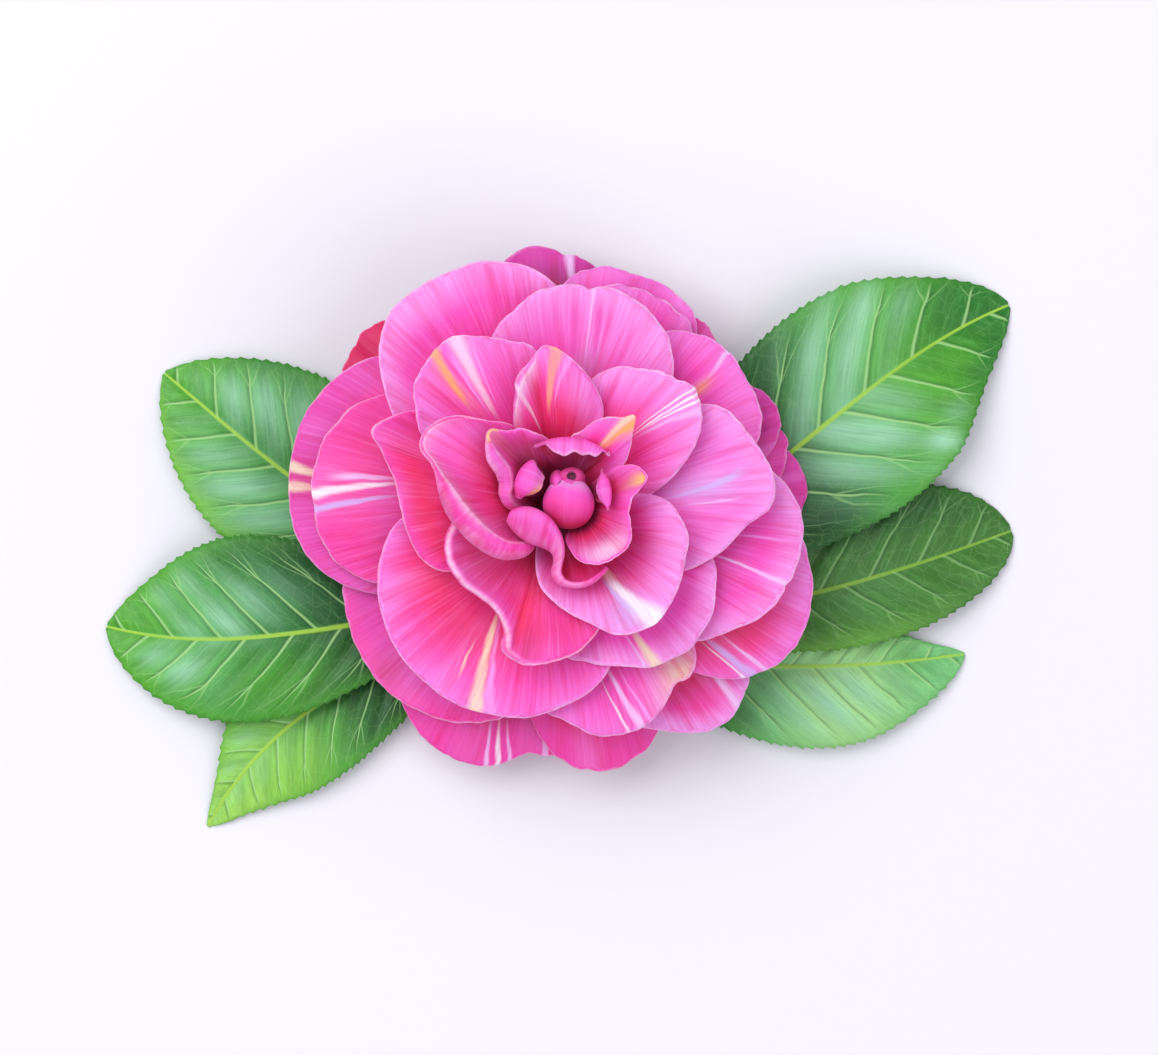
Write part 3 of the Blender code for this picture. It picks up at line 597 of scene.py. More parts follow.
middlePetals = {
    "mid_left": {
        "level": 0.19, "rim": ((141, 32), (149, 40), (158, 44.5), (168, 46.8), (179, 47), (190, 45.5),
                               (199, 41.5), (208, 34)),
        "wash": ("raspberry", "magenta", "hotPink", "hotPink"),
        "patches": ((-0.3, 0.72, 0.3, 0.16, "red", 0.45), (0.35, 0.8, 0.3, 0.16, "rose", 0.35)),
        "streaks": ((-0.06, -0.01, 0.028, 0.58, 0.93, "paleLilac", 0.95),
                    (-0.02, 0.11, 0.032, 0.58, 1.0, "white", 0.95),
                    (0.10, 0.20, 0.026, 0.58, 1.0, "blueLilac", 0.9))},
    "mid_top_left": {
        "level": 0.25, "rim": ((84, 33), (91, 41), (99, 46), (108, 48.3), (117, 48.6), (126, 49),
                               (134, 48), (142, 43.8), (150, 38), (159, 31)),
        "wash": ("hotPink", "hotPink", "vivid", "lilac"), "pleats": (0.28, 12), "bands": (7, 0.4, 0.5),
        "patches": ((-0.6, 0.85, 0.3, 0.15, "raspberry", 0.3),)},
    "mid_top": {
        "level": 0.31, "rim": ((42, 25), (48, 32), (56, 36.8), (65, 39.6), (74, 41.3), (84, 41.3),
                               (94, 40.6), (104, 37.3), (113, 34), (120, 28)),
        "wash": ("hotPink", "vivid", "orchid", "lilac"), "lobes": ((0.08, 0.03, -0.7),),
        "patches": ((-0.45, 0.85, 0.35, 0.3, "lilac", 0.45), (0.0, 0.62, 0.16, 0.16, "blueLilac", 0.45),
                    (0.5, 0.7, 0.3, 0.2, "magenta", 0.35)),
        "streaks": ((-0.06, 0.0, 0.03, 0.55, 0.95, "magenta", 0.75),
                    (-0.12, -0.07, 0.02, 0.55, 0.93, "hotPink", 0.7),
                    (0.14, 0.15, 0.035, 0.55, 0.93, "magenta", 0.6),
                    (0.03, 0.055, 0.012, 0.6, 1.0, "paleLilac", 0.7),
                    (-0.3, -0.28, 0.02, 0.6, 0.9, "hotPink", 0.5))},
    "mid_right_high": {
        "level": 0.18, "rim": ((6, 31), (14, 38), (22, 42.5), (31, 43.7), (41, 44), (50, 42.3),
                               (58, 39), (67, 32)),
        "wash": ("raspberry", "magenta", "vivid", "orchid"),
        "patches": ((0.08, 0.79, 0.05, 0.07, "orange", 0.8), (-0.3, 0.9, 0.3, 0.1, "lilac", 0.3)),
        "streaks": ((0.10, 0.16, 0.02, 0.82, 1.0, "paleLilac", 0.8),)},
    "mid_right": {
        "level": 0.37, "rim": ((-38, 21), (-30, 27), (-20, 31), (-10, 34.8), (-3, 39), (4, 40.5),
                               (12, 39), (22, 37), (32, 33.5), (40, 27)),
        "wash": ("orchid", "orchid", "orchid", "lilac"),
        "patches": ((-0.6, 0.6, 0.3, 0.25, "magenta", 0.5), (0.12, 0.62, 0.2, 0.22, "blueLilac", 0.7)),
        "streaks": ((0.0, 0.26, 0.045, 0.40, 0.88, "blueLilac", 0.85),
                    (-0.12, 0.0, 0.02, 0.5, 0.85, "paleLilac", 0.6))},
    "mid_right_low": {
        "level": 0.24, "rim": ((-54, 30), (-46, 37), (-37, 41), (-28, 45), (-19, 46.7), (-10, 47.2),
                               (-2, 46), (6, 42.5), (14, 37), (20, 31)),
        "wash": ("magenta", "magenta", "vivid", "lilac"),
        "lobes": ((-0.14, 0.02, -0.6),),
        "streaks": ((-0.11, -0.13, 0.016, 0.6, 1.0, "paleLilac", 0.85),
                    (0.1, 0.12, 0.012, 0.65, 0.95, "lilac", 0.7))},
    "mid_bottom": {
        "level": 0.195, "rim": ((256, 32), (264, 39), (273, 42), (281, 45.6), (289, 46), (297, 44.3),
                                (303, 41.5), (307, 42), (312, 39.5), (318, 32)),
        "wash": ("raspberry", "magenta", "vivid", "orchid"),
        "patches": ((0.5, 1.0, 0.28, 0.14, "cream", 0.95), (0.45, 1.4, 0.3, 0.5, "cream", 0.8)),
        "streaks": ((-0.19, -0.07, 0.03, 0.65, 1.0, "paleLilac", 0.9),
                    (-0.27, -0.16, 0.012, 0.7, 1.0, "white", 0.7),
                    (-0.08, 0.0, 0.014, 0.7, 1.0, "lilac", 0.8))},
    "mid_bottom_left": {
        "level": 0.27, "rim": ((180, 23), (187, 31), (197, 35.7), (208, 39.3), (219, 41.8),
                               (230, 43), (241, 43.5), (252, 43), (262, 41.7), (272, 38.8),
                               (281, 36), (288, 32), (294, 26)),
        "wash": ("rose", "rose", "hotPink", "orchid"), "pleats": (0.24, 12), "bands": (8, 0.55, 0.5),
        "patches": ((-0.55, 0.68, 0.3, 0.2, "red", 0.55), (-0.2, 0.6, 0.3, 0.15, "crimson", 0.4),
                    (0.45, 0.85, 0.3, 0.2, "vivid", 0.6)),
        "streaks": ((0.0, 0.10, 0.03, 0.45, 1.0, "cream", 0.95), (0.04, 0.155, 0.02, 0.5, 1.0, "lilac", 0.8),
                    (-0.04, -0.02, 0.008, 0.68, 0.88, "cream", 0.9),
                    (-0.07, -0.05, 0.007, 0.7, 0.85, "lilac", 0.7))},
    "mid_low_right": {
        "level": 0.32, "rim": ((264, 24), (271, 29.5), (280, 31.5), (290, 33.8), (300, 36.6),
                               (310, 37.3), (320, 36.2), (330, 34), (338, 31.5), (345, 26)),
        "wash": ("magenta", "vivid", "vivid", "lilac"),
        "patches": ((-0.6, 0.9, 0.2, 0.2, "magenta", 0.5),),
        "streaks": ((-0.15, -0.12, 0.045, 0.72, 1.0, "cream", 0.95),
                    (-0.22, -0.19, 0.014, 0.75, 1.0, "paleLilac", 0.7))},
}
innerPetals = {
    "inner_left_point": {
        "level": 0.385, "rim": ((142, 23), (148, 31.5), (155, 36.6), (161, 38.9), (166, 35.5),
                                (173, 32.6), (182, 31.2), (192, 30.4), (202, 29.3), (211, 26.8),
                                (218, 20)),
        "wash": ("crimson", "rose", "rose", "hotPink"), "washFrom": 0.6,
        "patches": ((0.15, 0.84, 0.5, 0.12, "red", 0.85), (-0.55, 0.95, 0.2, 0.2, "magenta", 0.5))},
    "inner_top_left": {
        "level": 0.435, "rim": ((97, 21), (102, 29), (110, 31.7), (119, 35), (127, 37.4),
                                (135, 37), (143, 35.8), (150, 32.7), (157, 29.4), (163, 23)),
        "wash": ("hotPink", "hotPink", "vivid", "orchid"),
        "patches": ((-0.75, 0.7, 0.3, 0.3, "rose", 0.6), (0.55, 0.85, 0.25, 0.2, "lilac", 0.4),
                    (0.28, 0.75, 0.08, 0.3, "rose", 0.6), (0.1, 0.8, 0.07, 0.2, "peach", 0.6)),
        "streaks": ((0.17, 0.04, 0.05, 0.62, 1.0, "orange", 0.85),
                    (-0.05, -0.17, 0.075, 0.45, 1.0, "rimWhite", 0.75),
                    (0.02, -0.06, 0.03, 0.5, 0.95, "lilac", 0.8),
                    (-0.15, -0.28, 0.02, 0.5, 1.0, "lilac", 0.6)),
        "creases": ((-0.02, 0.06, -0.5), (-0.24, 0.08, 0.4))},
    "inner_right_high": {
        "level": 0.47, "rim": ((-4, 13), (3, 17), (12, 21.5), (22, 26.5), (31, 30), (40, 32),
                               (48, 30.7), (58, 28.5), (68, 26.5), (77, 23.4), (84, 18)),
        "wash": ("rose", "hotPink", "orchid", "lilac"),
        "patches": ((0.4, 0.5, 0.35, 0.2, "red", 0.5), (-0.6, 0.8, 0.3, 0.3, "hotPink", 0.5),
                    (0.05, 0.85, 0.12, 0.3, "lilac", 0.6)),
        "streaks": ((0.07, -0.045, 0.013, 0.45, 1.0, "white", 1.0),
                    (0.11, 0.005, 0.011, 0.5, 1.0, "white", 0.95),
                    (0.03, -0.09, 0.011, 0.55, 1.0, "white", 0.95),
                    (0.0, -0.16, 0.03, 0.5, 1.0, "paleLilac", 0.6)),
        "creases": ((0.0, 0.05, 0.35),)},
    "curled_front": {
        "level": 0.44, "rim": ((188, 15), (194, 21.5), (204, 25), (217, 25.7), (230, 25), (241, 25.6),
                               (248, 28.5), (251, 32), (258, 32.6), (267, 31), (276, 28.8),
                               (284, 25.5), (290, 19)),
        "wash": ("ruby", "crimson", "rose", "rose", "hotPink"),
        "patches": ((-0.55, 0.75, 0.35, 0.25, "wine", 0.45), (0.12, 0.75, 0.14, 0.25, "red", 0.8),
                    (0.3, 0.9, 0.08, 0.15, "ruby", 0.5), (0.55, 0.7, 0.2, 0.3, "hotPink", 0.5)),
        "fold": 0.6, "liftPower": 6, "curlRows": 12, "square": 0.85,
        "rolls": ((-0.35, 0.62, 2.0, 100),), "lifts": ((-0.45, 0.5, 2.2), (0.12, 0.15, 1.2)),
        # painted highlight: the rimWhite crest along the rolled ribbon
        "crests": ((-0.38, 0.6, 0.98, 1.25, "orchid", 0.6), (-0.38, 0.6, 1.15, 1.5, "rimWhite", 0.85),
                   (-0.38, 0.6, 1.5, 2.0, "hotPink", 0.7)),
        "creases": ((0.16, 0.1, -0.8), (0.42, 0.12, 0.5))},
    "inner_low_right": {
        "level": 0.53, "rim": ((242, 10), (252, 16.5), (265, 20.3), (278, 23.8), (289, 27.8),
                               (301, 29.5), (313, 28.4), (325, 26.6), (338, 24.8), (350, 21.8),
                               (360, 18), (366, 12)),
        "wash": ("ruby", "raspberry", "hotPink", "orchid", "lilac"),
        "patches": ((-0.7, 0.75, 0.25, 0.3, "raspberry", 0.6), (0.05, 0.6, 0.2, 0.2, "crimson", 0.4),
                    (0.4, 0.85, 0.3, 0.2, "lilac", 0.4), (-0.14, 0.85, 0.16, 0.22, "blueLilac", 0.7)),
        "streaks": ((-0.16, -0.03, 0.075, 0.5, 1.0, "white", 1.0),
                    (-0.22, -0.11, 0.03, 0.5, 0.9, "blueLilac", 0.85),
                    (-0.15, -0.13, 0.06, 0.40, 0.56, "cream", 0.8))},
    "fan_top": {
        "level": 0.56, "rim": ((60, 11), (66, 17.5), (75, 21.3), (84, 24.3), (92, 27), (99, 28.6),
                               (106, 26.3), (114, 23.5), (121, 20), (127, 17), (133, 11)),
        "wash": ("crimson", "rose", "hotPink", "orchid"),
        # painted shade: the crimson patch in the crease at u 0.2; painted highlights: the rimWhite streak and
        # the white crest on the fold's ridge
        "patches": ((0.2, 0.78, 0.1, 0.2, "crimson", 0.75), (-0.5, 0.8, 0.3, 0.25, "lilac", 0.55),
                    (-0.25, 0.5, 0.3, 0.15, "red", 0.5), (0.75, 0.6, 0.2, 0.3, "red", 0.5),
                    (0.75, 1.0, 0.15, 0.15, "orange", 0.4)),
        "streaks": ((0.08, -0.12, 0.075, 0.5, 1.0, "peach", 0.9),
                    (-0.04, -0.26, 0.03, 0.55, 1.0, "lilac", 0.7),
                    (0.33, 0.42, 0.03, 0.45, 1.0, "rimWhite", 0.65)),
        "creases": ((0.2, 0.07, -0.9), (0.42, 0.06, 0.9)),
        "rolls": ((0.55, 0.4, 1.3, 60),), "crests": ((0.4, 0.3, 0.95, 1.3, "white", 0.8),)},
    "rolled_left": {
        "level": 0.63, "rim": ((122, 11), (130, 17.5), (139, 21), (147, 26.2), (155, 29.5), (162, 30),
                               (168, 27), (177, 25), (190, 22.8), (204, 20.3), (218, 17), (230, 12.5),
                               (236, 9)),
        "wash": ("ruby", "crimson", "rose", "hotPink", "hotPink"),
        # painted shade: the crimson patch inside the rolled rim and the raspberry crest on the roll's outer
        # side; painted highlights: the rimWhite crests on the crest
        "patches": ((-0.55, 0.85, 0.35, 0.2, "orchid", 0.5), (0.4, 0.75, 0.4, 0.25, "crimson", 0.6),
                    (-0.1, 0.8, 0.25, 0.2, "vivid", 0.5), (0.45, 1.6, 0.7, 0.5, "hotPink", 0.85)),
        "fold": 0.55, "liftPower": 7, "curlRows": 12, "rolls": ((0.6, 0.5, 4.0, 98),),
        "lifts": ((0.45, 0.6, 3.4),),
        "square": 0.6, "curlFade": 0.95, "fadePower": 4.5,
        "crests": ((0.0, 0.5, 0.98, 1.3, "rimWhite", 0.75), (0.6, 0.5, 1.02, 1.14, "rimWhite", 0.5),
                   (0.55, 0.5, 1.1, 1.5, "vivid", 0.5), (0.5, 0.6, 1.6, 2.1, "raspberry", 0.7))},
}
centrePetals = {
    "pointed_right": {
        "level": 0.70, "rim": ((17, 7.5), (24, 10.6), (31, 13), (38, 14.9), (44, 16.5), (50, 19),
                               (56, 17.6), (63, 16.4), (70, 15), (77, 12.6), (86, 11.3), (94, 8)),
        "wash": ("crimson", "rose", "vivid", "orchid"), "edgePart": 0.8,
        "streaks": ((0.06, -0.1, 0.2, 0.42, 1.0, "peach", 0.9), (0.12, -0.02, 0.09, 0.5, 1.0, "cream", 0.8),
                    (0.0, -0.16, 0.06, 0.6, 1.0, "orange", 0.9)),
        "creases": ((-0.3, 0.08, 0.5), (0.1, 0.08, -0.4))},
    "ruffled_left": {
        "level": 0.72, "rim": ((102, 8), (110, 11.6), (119, 13.4), (128, 15.6), (137, 17),
                               (143, 19.6), (149, 18), (154, 15.2), (165, 13.6), (178, 13),
                               (188, 11.5), (194, 8)),
        "wash": ("wine", "ruby", "raspberry", "hotPink", "vivid"),
        "fold": 0.6, "liftPower": 5, "rolls": ((0.5, 0.48, 2.8, 95),), "lifts": ((0.4, 0.5, 2.0),),
        "square": 0.6,
        # painted highlight: the rimWhite crest on the roll; painted shade: the two wine patches in the hollow
        # below it
        "crests": ((0.5, 0.5, 0.98, 1.2, "rimWhite", 0.5), (0.5, 0.5, 1.2, 1.7, "orchid", 0.7),
                   (-0.08, 0.12, 1.1, 1.9, "yellow", 0.95)),
        "patches": ((-0.25, 0.75, 0.45, 0.25, "wine", 0.55), (-0.2, 0.55, 0.5, 0.2, "wine", 0.6))},
    "tongue_front": {
        "level": 0.74, "axisHeight": 38, "columns": 96, "rows": 36, "curlRows": 22, "belly": 2.5,
        "uneven": 0.1,
        "footEdge": ((212, 5.6, 31.5), (219, 5.2, 31.5), (228, 4.8, 31.5), (240, 4.6, 31.5), (250, 4.6, 31.5),
                     (256, 4.7, 31.5), (261, 4.9, 31.5), (266, 5.2, 31.5)),
        "lean": (0, 0, 0.6, 1.4, 2.0, 1.8, 0.8, 0, 0, 0, 0, 0, 0, 0, 0),
        "innerEdge": ((200.5, 12.0, 39.6), (195, 10.9, 41.0), (194.5, 8.6, 41.7), (203.5, 6.4, 41.9),
                      (228, 5.3, 41.8),
                      (252, 6.1, 41.2), (265, 8.4, 40.4), (268, 10.9, 39.6), (266.4, 12.9, 39.2),
                      (266, 14.6, 39.2),
                      (270, 15.9, 39.4), (277, 16.5, 39.7), (285, 16.4, 40.0), (293, 15.8, 40.1),
                      (299, 15.3, 40.0)),
        "outerEdge": ((202, 12.4, 39.0), (207.5, 12.4, 38.6), (218, 12.0, 38.2), (231, 11.5, 38.3),
                      (243, 10.9, 38.3), (253, 11.1, 38.2), (257.5, 12.0, 38.0), (258.4, 13.3, 37.8),
                      (258.4, 14.7, 37.8), (260.7, 16.0, 38.0), (266, 17.0, 38.3), (274, 17.5, 38.8),
                      (282.5, 17.5, 39.2), (291, 16.8, 39.5), (299.5, 15.8, 39.6)),
        "crestRise": (0.9, 1.4, 2.0, 2.5, 2.6, 2.4, 1.9, 1.6, 1.3, 1.1, 1.0, 0.8, 0.6, 0.45, 0.3),
        "wash": ("deepWine", "ruby", "crimson", "rose", "hotPink"), "edgePart": 0.2,
        # painted highlights: the vivid and rimWhite crests along the fold's crest; painted shade: the
        # raspberry crest on its outer side and the ruby patch deep in the pocket
        "crests": ((-0.1, 0.9, 1.15, 1.5, "vivid", 0.75), (-0.55, 0.35, 1.2, 1.45, "orchid", 0.6),
                   (0.25, 0.5, 1.2, 1.6, "rimWhite", 0.35), (-0.6, 0.45, 1.75, 2.3, "raspberry", 0.7)),
        "patches": ((0.3, 0.8, 0.4, 0.25, "ruby", 0.9),)},
    "wavy_right": {
        "level": 0.80, "rim": ((-92, 8.5), (-84, 12.4), (-73, 14.2), (-61, 14.8), (-50, 15), (-39, 14.3),
                               (-28, 13), (-17, 11.8), (-6, 11.7), (4, 13.4), (12, 14.6), (23, 13.4),
                               (31, 10)),
        "wash": ("wine", "crimson", "raspberry", "magenta", "vivid"),
        "patches": ((0.65, 1.0, 0.1, 0.25, "yellow", 0.95), (-0.4, 0.88, 0.3, 0.18, "rimWhite", 0.85),
                    (0.1, 0.75, 0.3, 0.2, "raspberry", 0.7)),
        "creases": ((0.25, 0.15, 0.6),)},
}
seed = 0
# washFrom sets where the deep throat colour gives way, near where each petal comes out from under the petals
# above: that deep throat is partly the petals' own red and partly painted shade under them
for group, skin, slot, common in (
        (backPetals, backSkin, "petal_dark", {"columns": 56, "rows": 32, "washFrom": 0.75}),
        (outerPetals, petalSkin, "petal_pink", {"columns": 72, "washFrom": 0.75}),
        (middlePetals, petalSkin, "petal_pink", {"columns": 88, "washFrom": 0.55}),
        (innerPetals, petalSkin, "petal_pink", {"columns": 88, "washFrom": 0.35}),
        (centrePetals, petalSkin, "petal_pink", {"columns": 72, "rows": 34, "thickness": (0.45, 0.36, 0.16),
                                                 "ruffle": (0.15, 2.2), "uneven": 0.12, "pleats": (0.06, 7),
                                                 "curl": (0.6, 40), "ragged": 0.15, "washFrom": 0.3})):
    for name, spec in group.items():
        seed += 1
        makePetal(name, dict(common, **spec), skin, seed)
print("petals made:", seed)

# Petaloids: small hooded petals that close over the bud, seen from their lit outer side. Each has a
# heading and a spine of reach and height that climbs, turns over and comes back down to its tip.
# painted shade: the inside wash is dark wine, the shade in each hood's hollow, and the outside turns ruby
# (flank) on the sides that curl away; painted highlight: the pale rim
hoodShape = {"rows": 46, "columns": 44, "axisHeight": 38.0, "thickness": (0.45, 0.2), "ragged": 0.03,
             "frill": 0.08, "recede": 0.04,
             "inside": ("wine", "ruby", "berry"), "outside": ("raspberry", "hotPink", "vivid", "orchid"),
             "flank": "ruby", "flankPart": 0.5}
hoods = {
    "petaloid_top": {
        "azimuth": 84, "wraps": (25, 28, 31, 36, 44, 46), "halfWidths": (1.6, 3.6, 5.8, 7.1, 7.1, 6.4),
        "spine": ((4.6, 31.2), (6.6, 33.8), (9.2, 36.9), (11, 39.6), (10.0, 41.9), (6.8, 41.9)),
        "ragged": 0.1, "frill": 0.25, "recede": 0.2},
    "petaloid_left": {
        "azimuth": 158, "wraps": (25, 32, 36, 40, 52, 66, 66),
        "halfWidths": (1.4, 2.3, 3.1, 3.7, 3.8, 3.5, 2.2),
        "spine": ((4.4, 31.7), (6.0, 34.0), (8.2, 37.0), (10.1, 39.8), (9.3, 42.3), (6.8, 42.4), (4.8, 40.0)),
        "patches": ((0.5, 0.96, 0.5, 0.06, "yellow", 0.9),)},
    "petaloid_right": {
        "azimuth": 9, "wraps": (22, 25, 28, 30, 33, 36, 36),
        "halfWidths": (1.0, 1.5, 2.3, 3.3, 3.9, 3.6, 2.0),
        "spine": ((4.4, 34.0), (5.1, 35.8), (6.4, 38.2), (8.2, 40.4), (8.0, 42.3), (6.5, 42.3), (5.6, 40.6))},
}


def makeHood(name, spec, seed):
    # A strip carried along the spine whose cross-section is an arc bowed away from the bud: the
    # point at u is the spine plus half width times sin(wrap u) sideways and the arc's sag inward.
    look = dict(hoodShape, **spec)
    u = np.linspace(-1, 1, look["columns"])[None, :]
    v = np.linspace(0, 1, look["rows"])[:, None]
    place = v * (1 - look["ragged"] * (0.6 + 0.6 * ripple(seed, u * 2.6, 0, 5)) - look["recede"] * u ** 4)
    spine = smoothCurve(look["spine"], place.ravel()).reshape(*place.shape, 2)
    ahead = unit(np.gradient(smoothCurve(look["spine"], np.linspace(0, 1, 200)), axis=0))
    ahead = np.stack([np.interp(place, np.linspace(0, 1, 200), ahead[:, k]) for k in (0, 1)], axis=-1)
    ahead = unit(ahead)
    half = smoothCurve(np.array(look["halfWidths"])[:, None], place.ravel()).reshape(place.shape)
    wrap = np.radians(smoothCurve(np.array(look["wraps"], float)[:, None],
                                  place.ravel()).reshape(place.shape))
    radius = half / np.sin(wrap)
    sag = radius * (1 - np.cos(wrap * u))
    reach = spine[..., 0] - ahead[..., 1] * sag
    height = spine[..., 1] + ahead[..., 0] * sag
    turn = np.radians(look["azimuth"])
    centre = axisPoint(look["axisHeight"])
    sideways = radius * np.sin(wrap * u)
    sheet = np.stack([centre[0] + reach * np.cos(turn) - sideways * np.sin(turn),
                      centre[1] + reach * np.sin(turn) + sideways * np.cos(turn), height], axis=-1)
    margin = smoothStep(0.75, 1.0, v) + smoothStep(0.8, 1.0, np.abs(u)) * v
    frill = look["frill"] * margin * ripple(seed + 7, u * 3.5, v * 3, 3)
    sheet = sheet + unit(sheetNormals(sheet)) * frill[..., None]
    foot, rim = look["thickness"]
    points, faces = shellParts(sheet, foot + (rim - foot) * v + 0 * u)
    sides = []
    for names in (look["inside"], look["outside"]):
        stops = np.linspace(0.2, 0.95, len(names))
        wash = washAlong(names, stops, v + 0.05 * ripple(seed + 11, u * 2, v * 2, 2.5))
        # painted shade: the outer face turns towards the flank colour on its sides, where it curls away from
        # the light
        if names == look["outside"]:
            flank = look["flankPart"] * smoothStep(0.55, 1.0,
                                                   np.abs(u + 0.15)) * (1 - smoothStep(0.9, 1.0, v))
            wash = stained(wash, look["flank"], flank)
        # painted highlight: a pale rim round the tip and along the sides
        sideRim = smoothStep(0.95, 1.0, np.abs(u)) * smoothStep(0.5, 0.8, v)
        wash = stained(wash, "rimWhite", 0.6 * np.maximum(smoothStep(0.95, 1.0, v + 0 * u), sideRim))
        wash = dabbed(wash, u, v, look.get("patches", ()))
        sides.append(wash.reshape(-1, 3))
    inMillimetres = np.stack([u * half.max() + mapStep * seed + 0 * v, v * 16 + 0 * u], axis=-1).reshape(-1,
                                                                                                         2)
    inPetal = np.stack([u + 0 * v, v + 0 * u], axis=-1).reshape(-1, 2)
    meshPiece(name + "_petal", points, faces, [name], petalFlesh(name + "_skin", petalSkin),
              maps={"petalMap": np.concatenate([inMillimetres, inMillimetres + undersideShift]),
                    "petalPlace": np.tile(inPetal, (2, 1))},
              tints={"petalWash": np.concatenate(sides)})


for name, spec in hoods.items():
    seed += 1
    makeHood(name, spec, seed)
print("petaloids made:", len(hoods))

sepals = {"sepal_front": (-0.05, 262), "sepal_right": (-0.10, 334), "sepal_back_right": (-0.05, 46),
          "sepal_back_left": (-0.10, 118), "sepal_left": (-0.15, 190)}
sepalShape = {"halfAngle": 42, "reach": 14.5, "rim": ((-1, 0.7), (-0.6, 0.9), (0, 1), (0.6, 0.9), (1, 0.7)),
              "look": {"columns": 36, "rows": 24, "wash": ("stalk", "sepal", "sepalTip"), "edge": "cream",
                       "curl": (0.6, 30), "ruffle": (0.1, 2), "pleats": (0.04, 5), "uneven": 0.08,
                       "ragged": 0.1,
                       "under": "stalk", "edgePart": 0.5, "suffix": "_scale", "bands": (4, 0.3, 0.0)}}
for name, (level, azimuth) in sepals.items():
    seed += 1
    rim = [(azimuth + share * sepalShape["halfAngle"], sepalShape["reach"] * part)
           for share, part in sepalShape["rim"]]
    makePetal(name, dict(sepalShape["look"], level=level, rim=rim), sepalSkin, seed)
print("sepals made")


def ringFaces(rings, sides, start=0):
    # quads between closed rings of points, outward when the rings climb and turn anticlockwise
    index = start + np.arange(rings * sides).reshape(rings, sides)
    ahead = np.roll(index, -1, axis=1)
    return np.stack([index[:-1], ahead[:-1], ahead[1:], index[1:]], axis=-1).reshape(-1, 4)


def closedRings(rings):
    # rings of points joined to each other, with a point and a fan of triangles at both ends
    count, sides = rings.shape[:2]
    points = np.concatenate([rings.reshape(-1, 3), rings[:1].mean(1), rings[-1:].mean(1)])
    first, last = np.arange(sides), (count - 1) * sides + np.arange(sides)
    low = np.stack([np.roll(first, -1), first, np.full(sides, count * sides)], axis=-1)
    high = np.stack([last, np.roll(last, -1), np.full(sides, count * sides + 1)], axis=-1)
    return points, [ringFaces(count, sides), low, high]


def turned(profile, centre, sides, steps, wobble=0.0, seed=0):
    # surface of revolution: a smooth profile of radius and height turned about an upright line
    curve = smoothCurve(profile, np.linspace(0, 1, steps))
    turn = np.linspace(0, 2 * np.pi, sides, endpoint=False)[None, :]
    radius = curve[:, :1] * (1 + wobble * np.sin(3 * turn + curve[:, 1:] * 0.9 + seed))
    return np.stack([centre[0] + radius * np.cos(turn), centre[1] + radius * np.sin(turn),
                     centre[2] + curve[:, 1:] + 0 * turn], axis=-1)


def joined(parts):
    # several (points, faces) parts as one
    points, faces, start = [], [], 0
    for partPoints, partFaces in parts:
        points.append(partPoints)
        faces += [f + start for f in partFaces]
        start += len(partPoints)
    return np.concatenate(points), faces


# the bud at the heart: a solid core, young petals wrapped round it, and a small tip with a pit
bud = {
    "core": {"centre": (1.9, 8.3, 32.5),
             "profile": ((1.2, 0), (2.3, 1.2), (3.0, 3.6), (3.2, 6.0), (2.1, 7.6), (0.3, 8.1))},
    "tip": {"centre": (2.3, 11.9, 34.3), "squeeze": 0.62,
            "profile": ((0.3, 0), (1.2, 0.8), (2.1, 2.3), (2.6, 3.6), (2.4, 4.6), (1.7, 5.3), (1.05, 5.45),
                        (0.75, 5.2),
                        (0.5, 5.0), (0.1, 5.0))},
    "wraps": (
        {"azimuth": 100, "tilt": 28, "centre": (1.8, 9.2, 36.0), "radii": (3.4, 3.5, 4.2), "across": 74,
         "along": (-60, 58)},
        {"azimuth": 12, "tilt": 30, "centre": (1.8, 8.0, 36.8), "radii": (3.5, 4.2, 4.2), "across": 66,
         "along": (-60, 60)},
        {"azimuth": 184, "tilt": 34, "centre": (1.8, 8.0, 36.6), "radii": (4.1, 4.2, 4.4), "across": 66,
         "along": (-66, 60)},
        {"azimuth": 140, "tilt": 30, "centre": (-0.4, 10.9, 36.3), "radii": (1.3, 2.0, 3.8), "across": 85,
         "along": (-60, 70)},
        # the main lobe: its wash runs from wine low down to lilac on top, painted shade below and a painted
        # highlight above
        {"azimuth": 266, "tilt": 75, "centre": (1.7, 6.85, 37.2), "radii": (4.75, 4.8, 4.5), "across": 84,
         "along": (-86, 73),
         "wash": ("wine", "ruby", "raspberry", "hotPink", "vivid", "lilac")},
    ),
    "thickness": (0.5, 0.25), "wash": ("wine", "raspberry", "vivid"),
}


def budWrap(wrap, seed, rows=34, columns=40):
    # a young petal laid on an egg shape: latitude and longitude about its own middle direction
    turn, tilt = np.radians(wrap["azimuth"]), np.radians(wrap["tilt"])
    middle = np.array([np.cos(turn) * np.cos(tilt), np.sin(turn) * np.cos(tilt), np.sin(tilt)])
    east = np.array([-np.sin(turn), np.cos(turn), 0])
    top = np.cross(middle, east)
    v = np.linspace(0, 1, rows)[:, None]
    u = np.linspace(-1, 1, columns)[None, :]
    lowEnd, highEnd = np.radians(wrap["along"])
    north = highEnd + (lowEnd - highEnd) * v - 0.10 * u ** 2 * (1 - v)
    side = u * np.radians(wrap["across"]) * (1 - 0.12 * v)
    swell = 1 + 0.012 * ripple(seed, u * 2, v * 2, 2.0) + 0.02 * (1 - v) ** 6 + 0.015 * u ** 6
    forward = (np.cos(north) * np.cos(side))[..., None] * middle
    sideways = (np.cos(north) * np.sin(side))[..., None] * east
    direction = forward + sideways + (np.sin(north) + 0 * side)[..., None] * top
    sheet = np.array(wrap["centre"]) + direction * np.array(wrap["radii"]) * swell[..., None]
    return sheet, u + 0 * v, 1 - v + 0 * u


parts, washes, budMaps = [], [], []
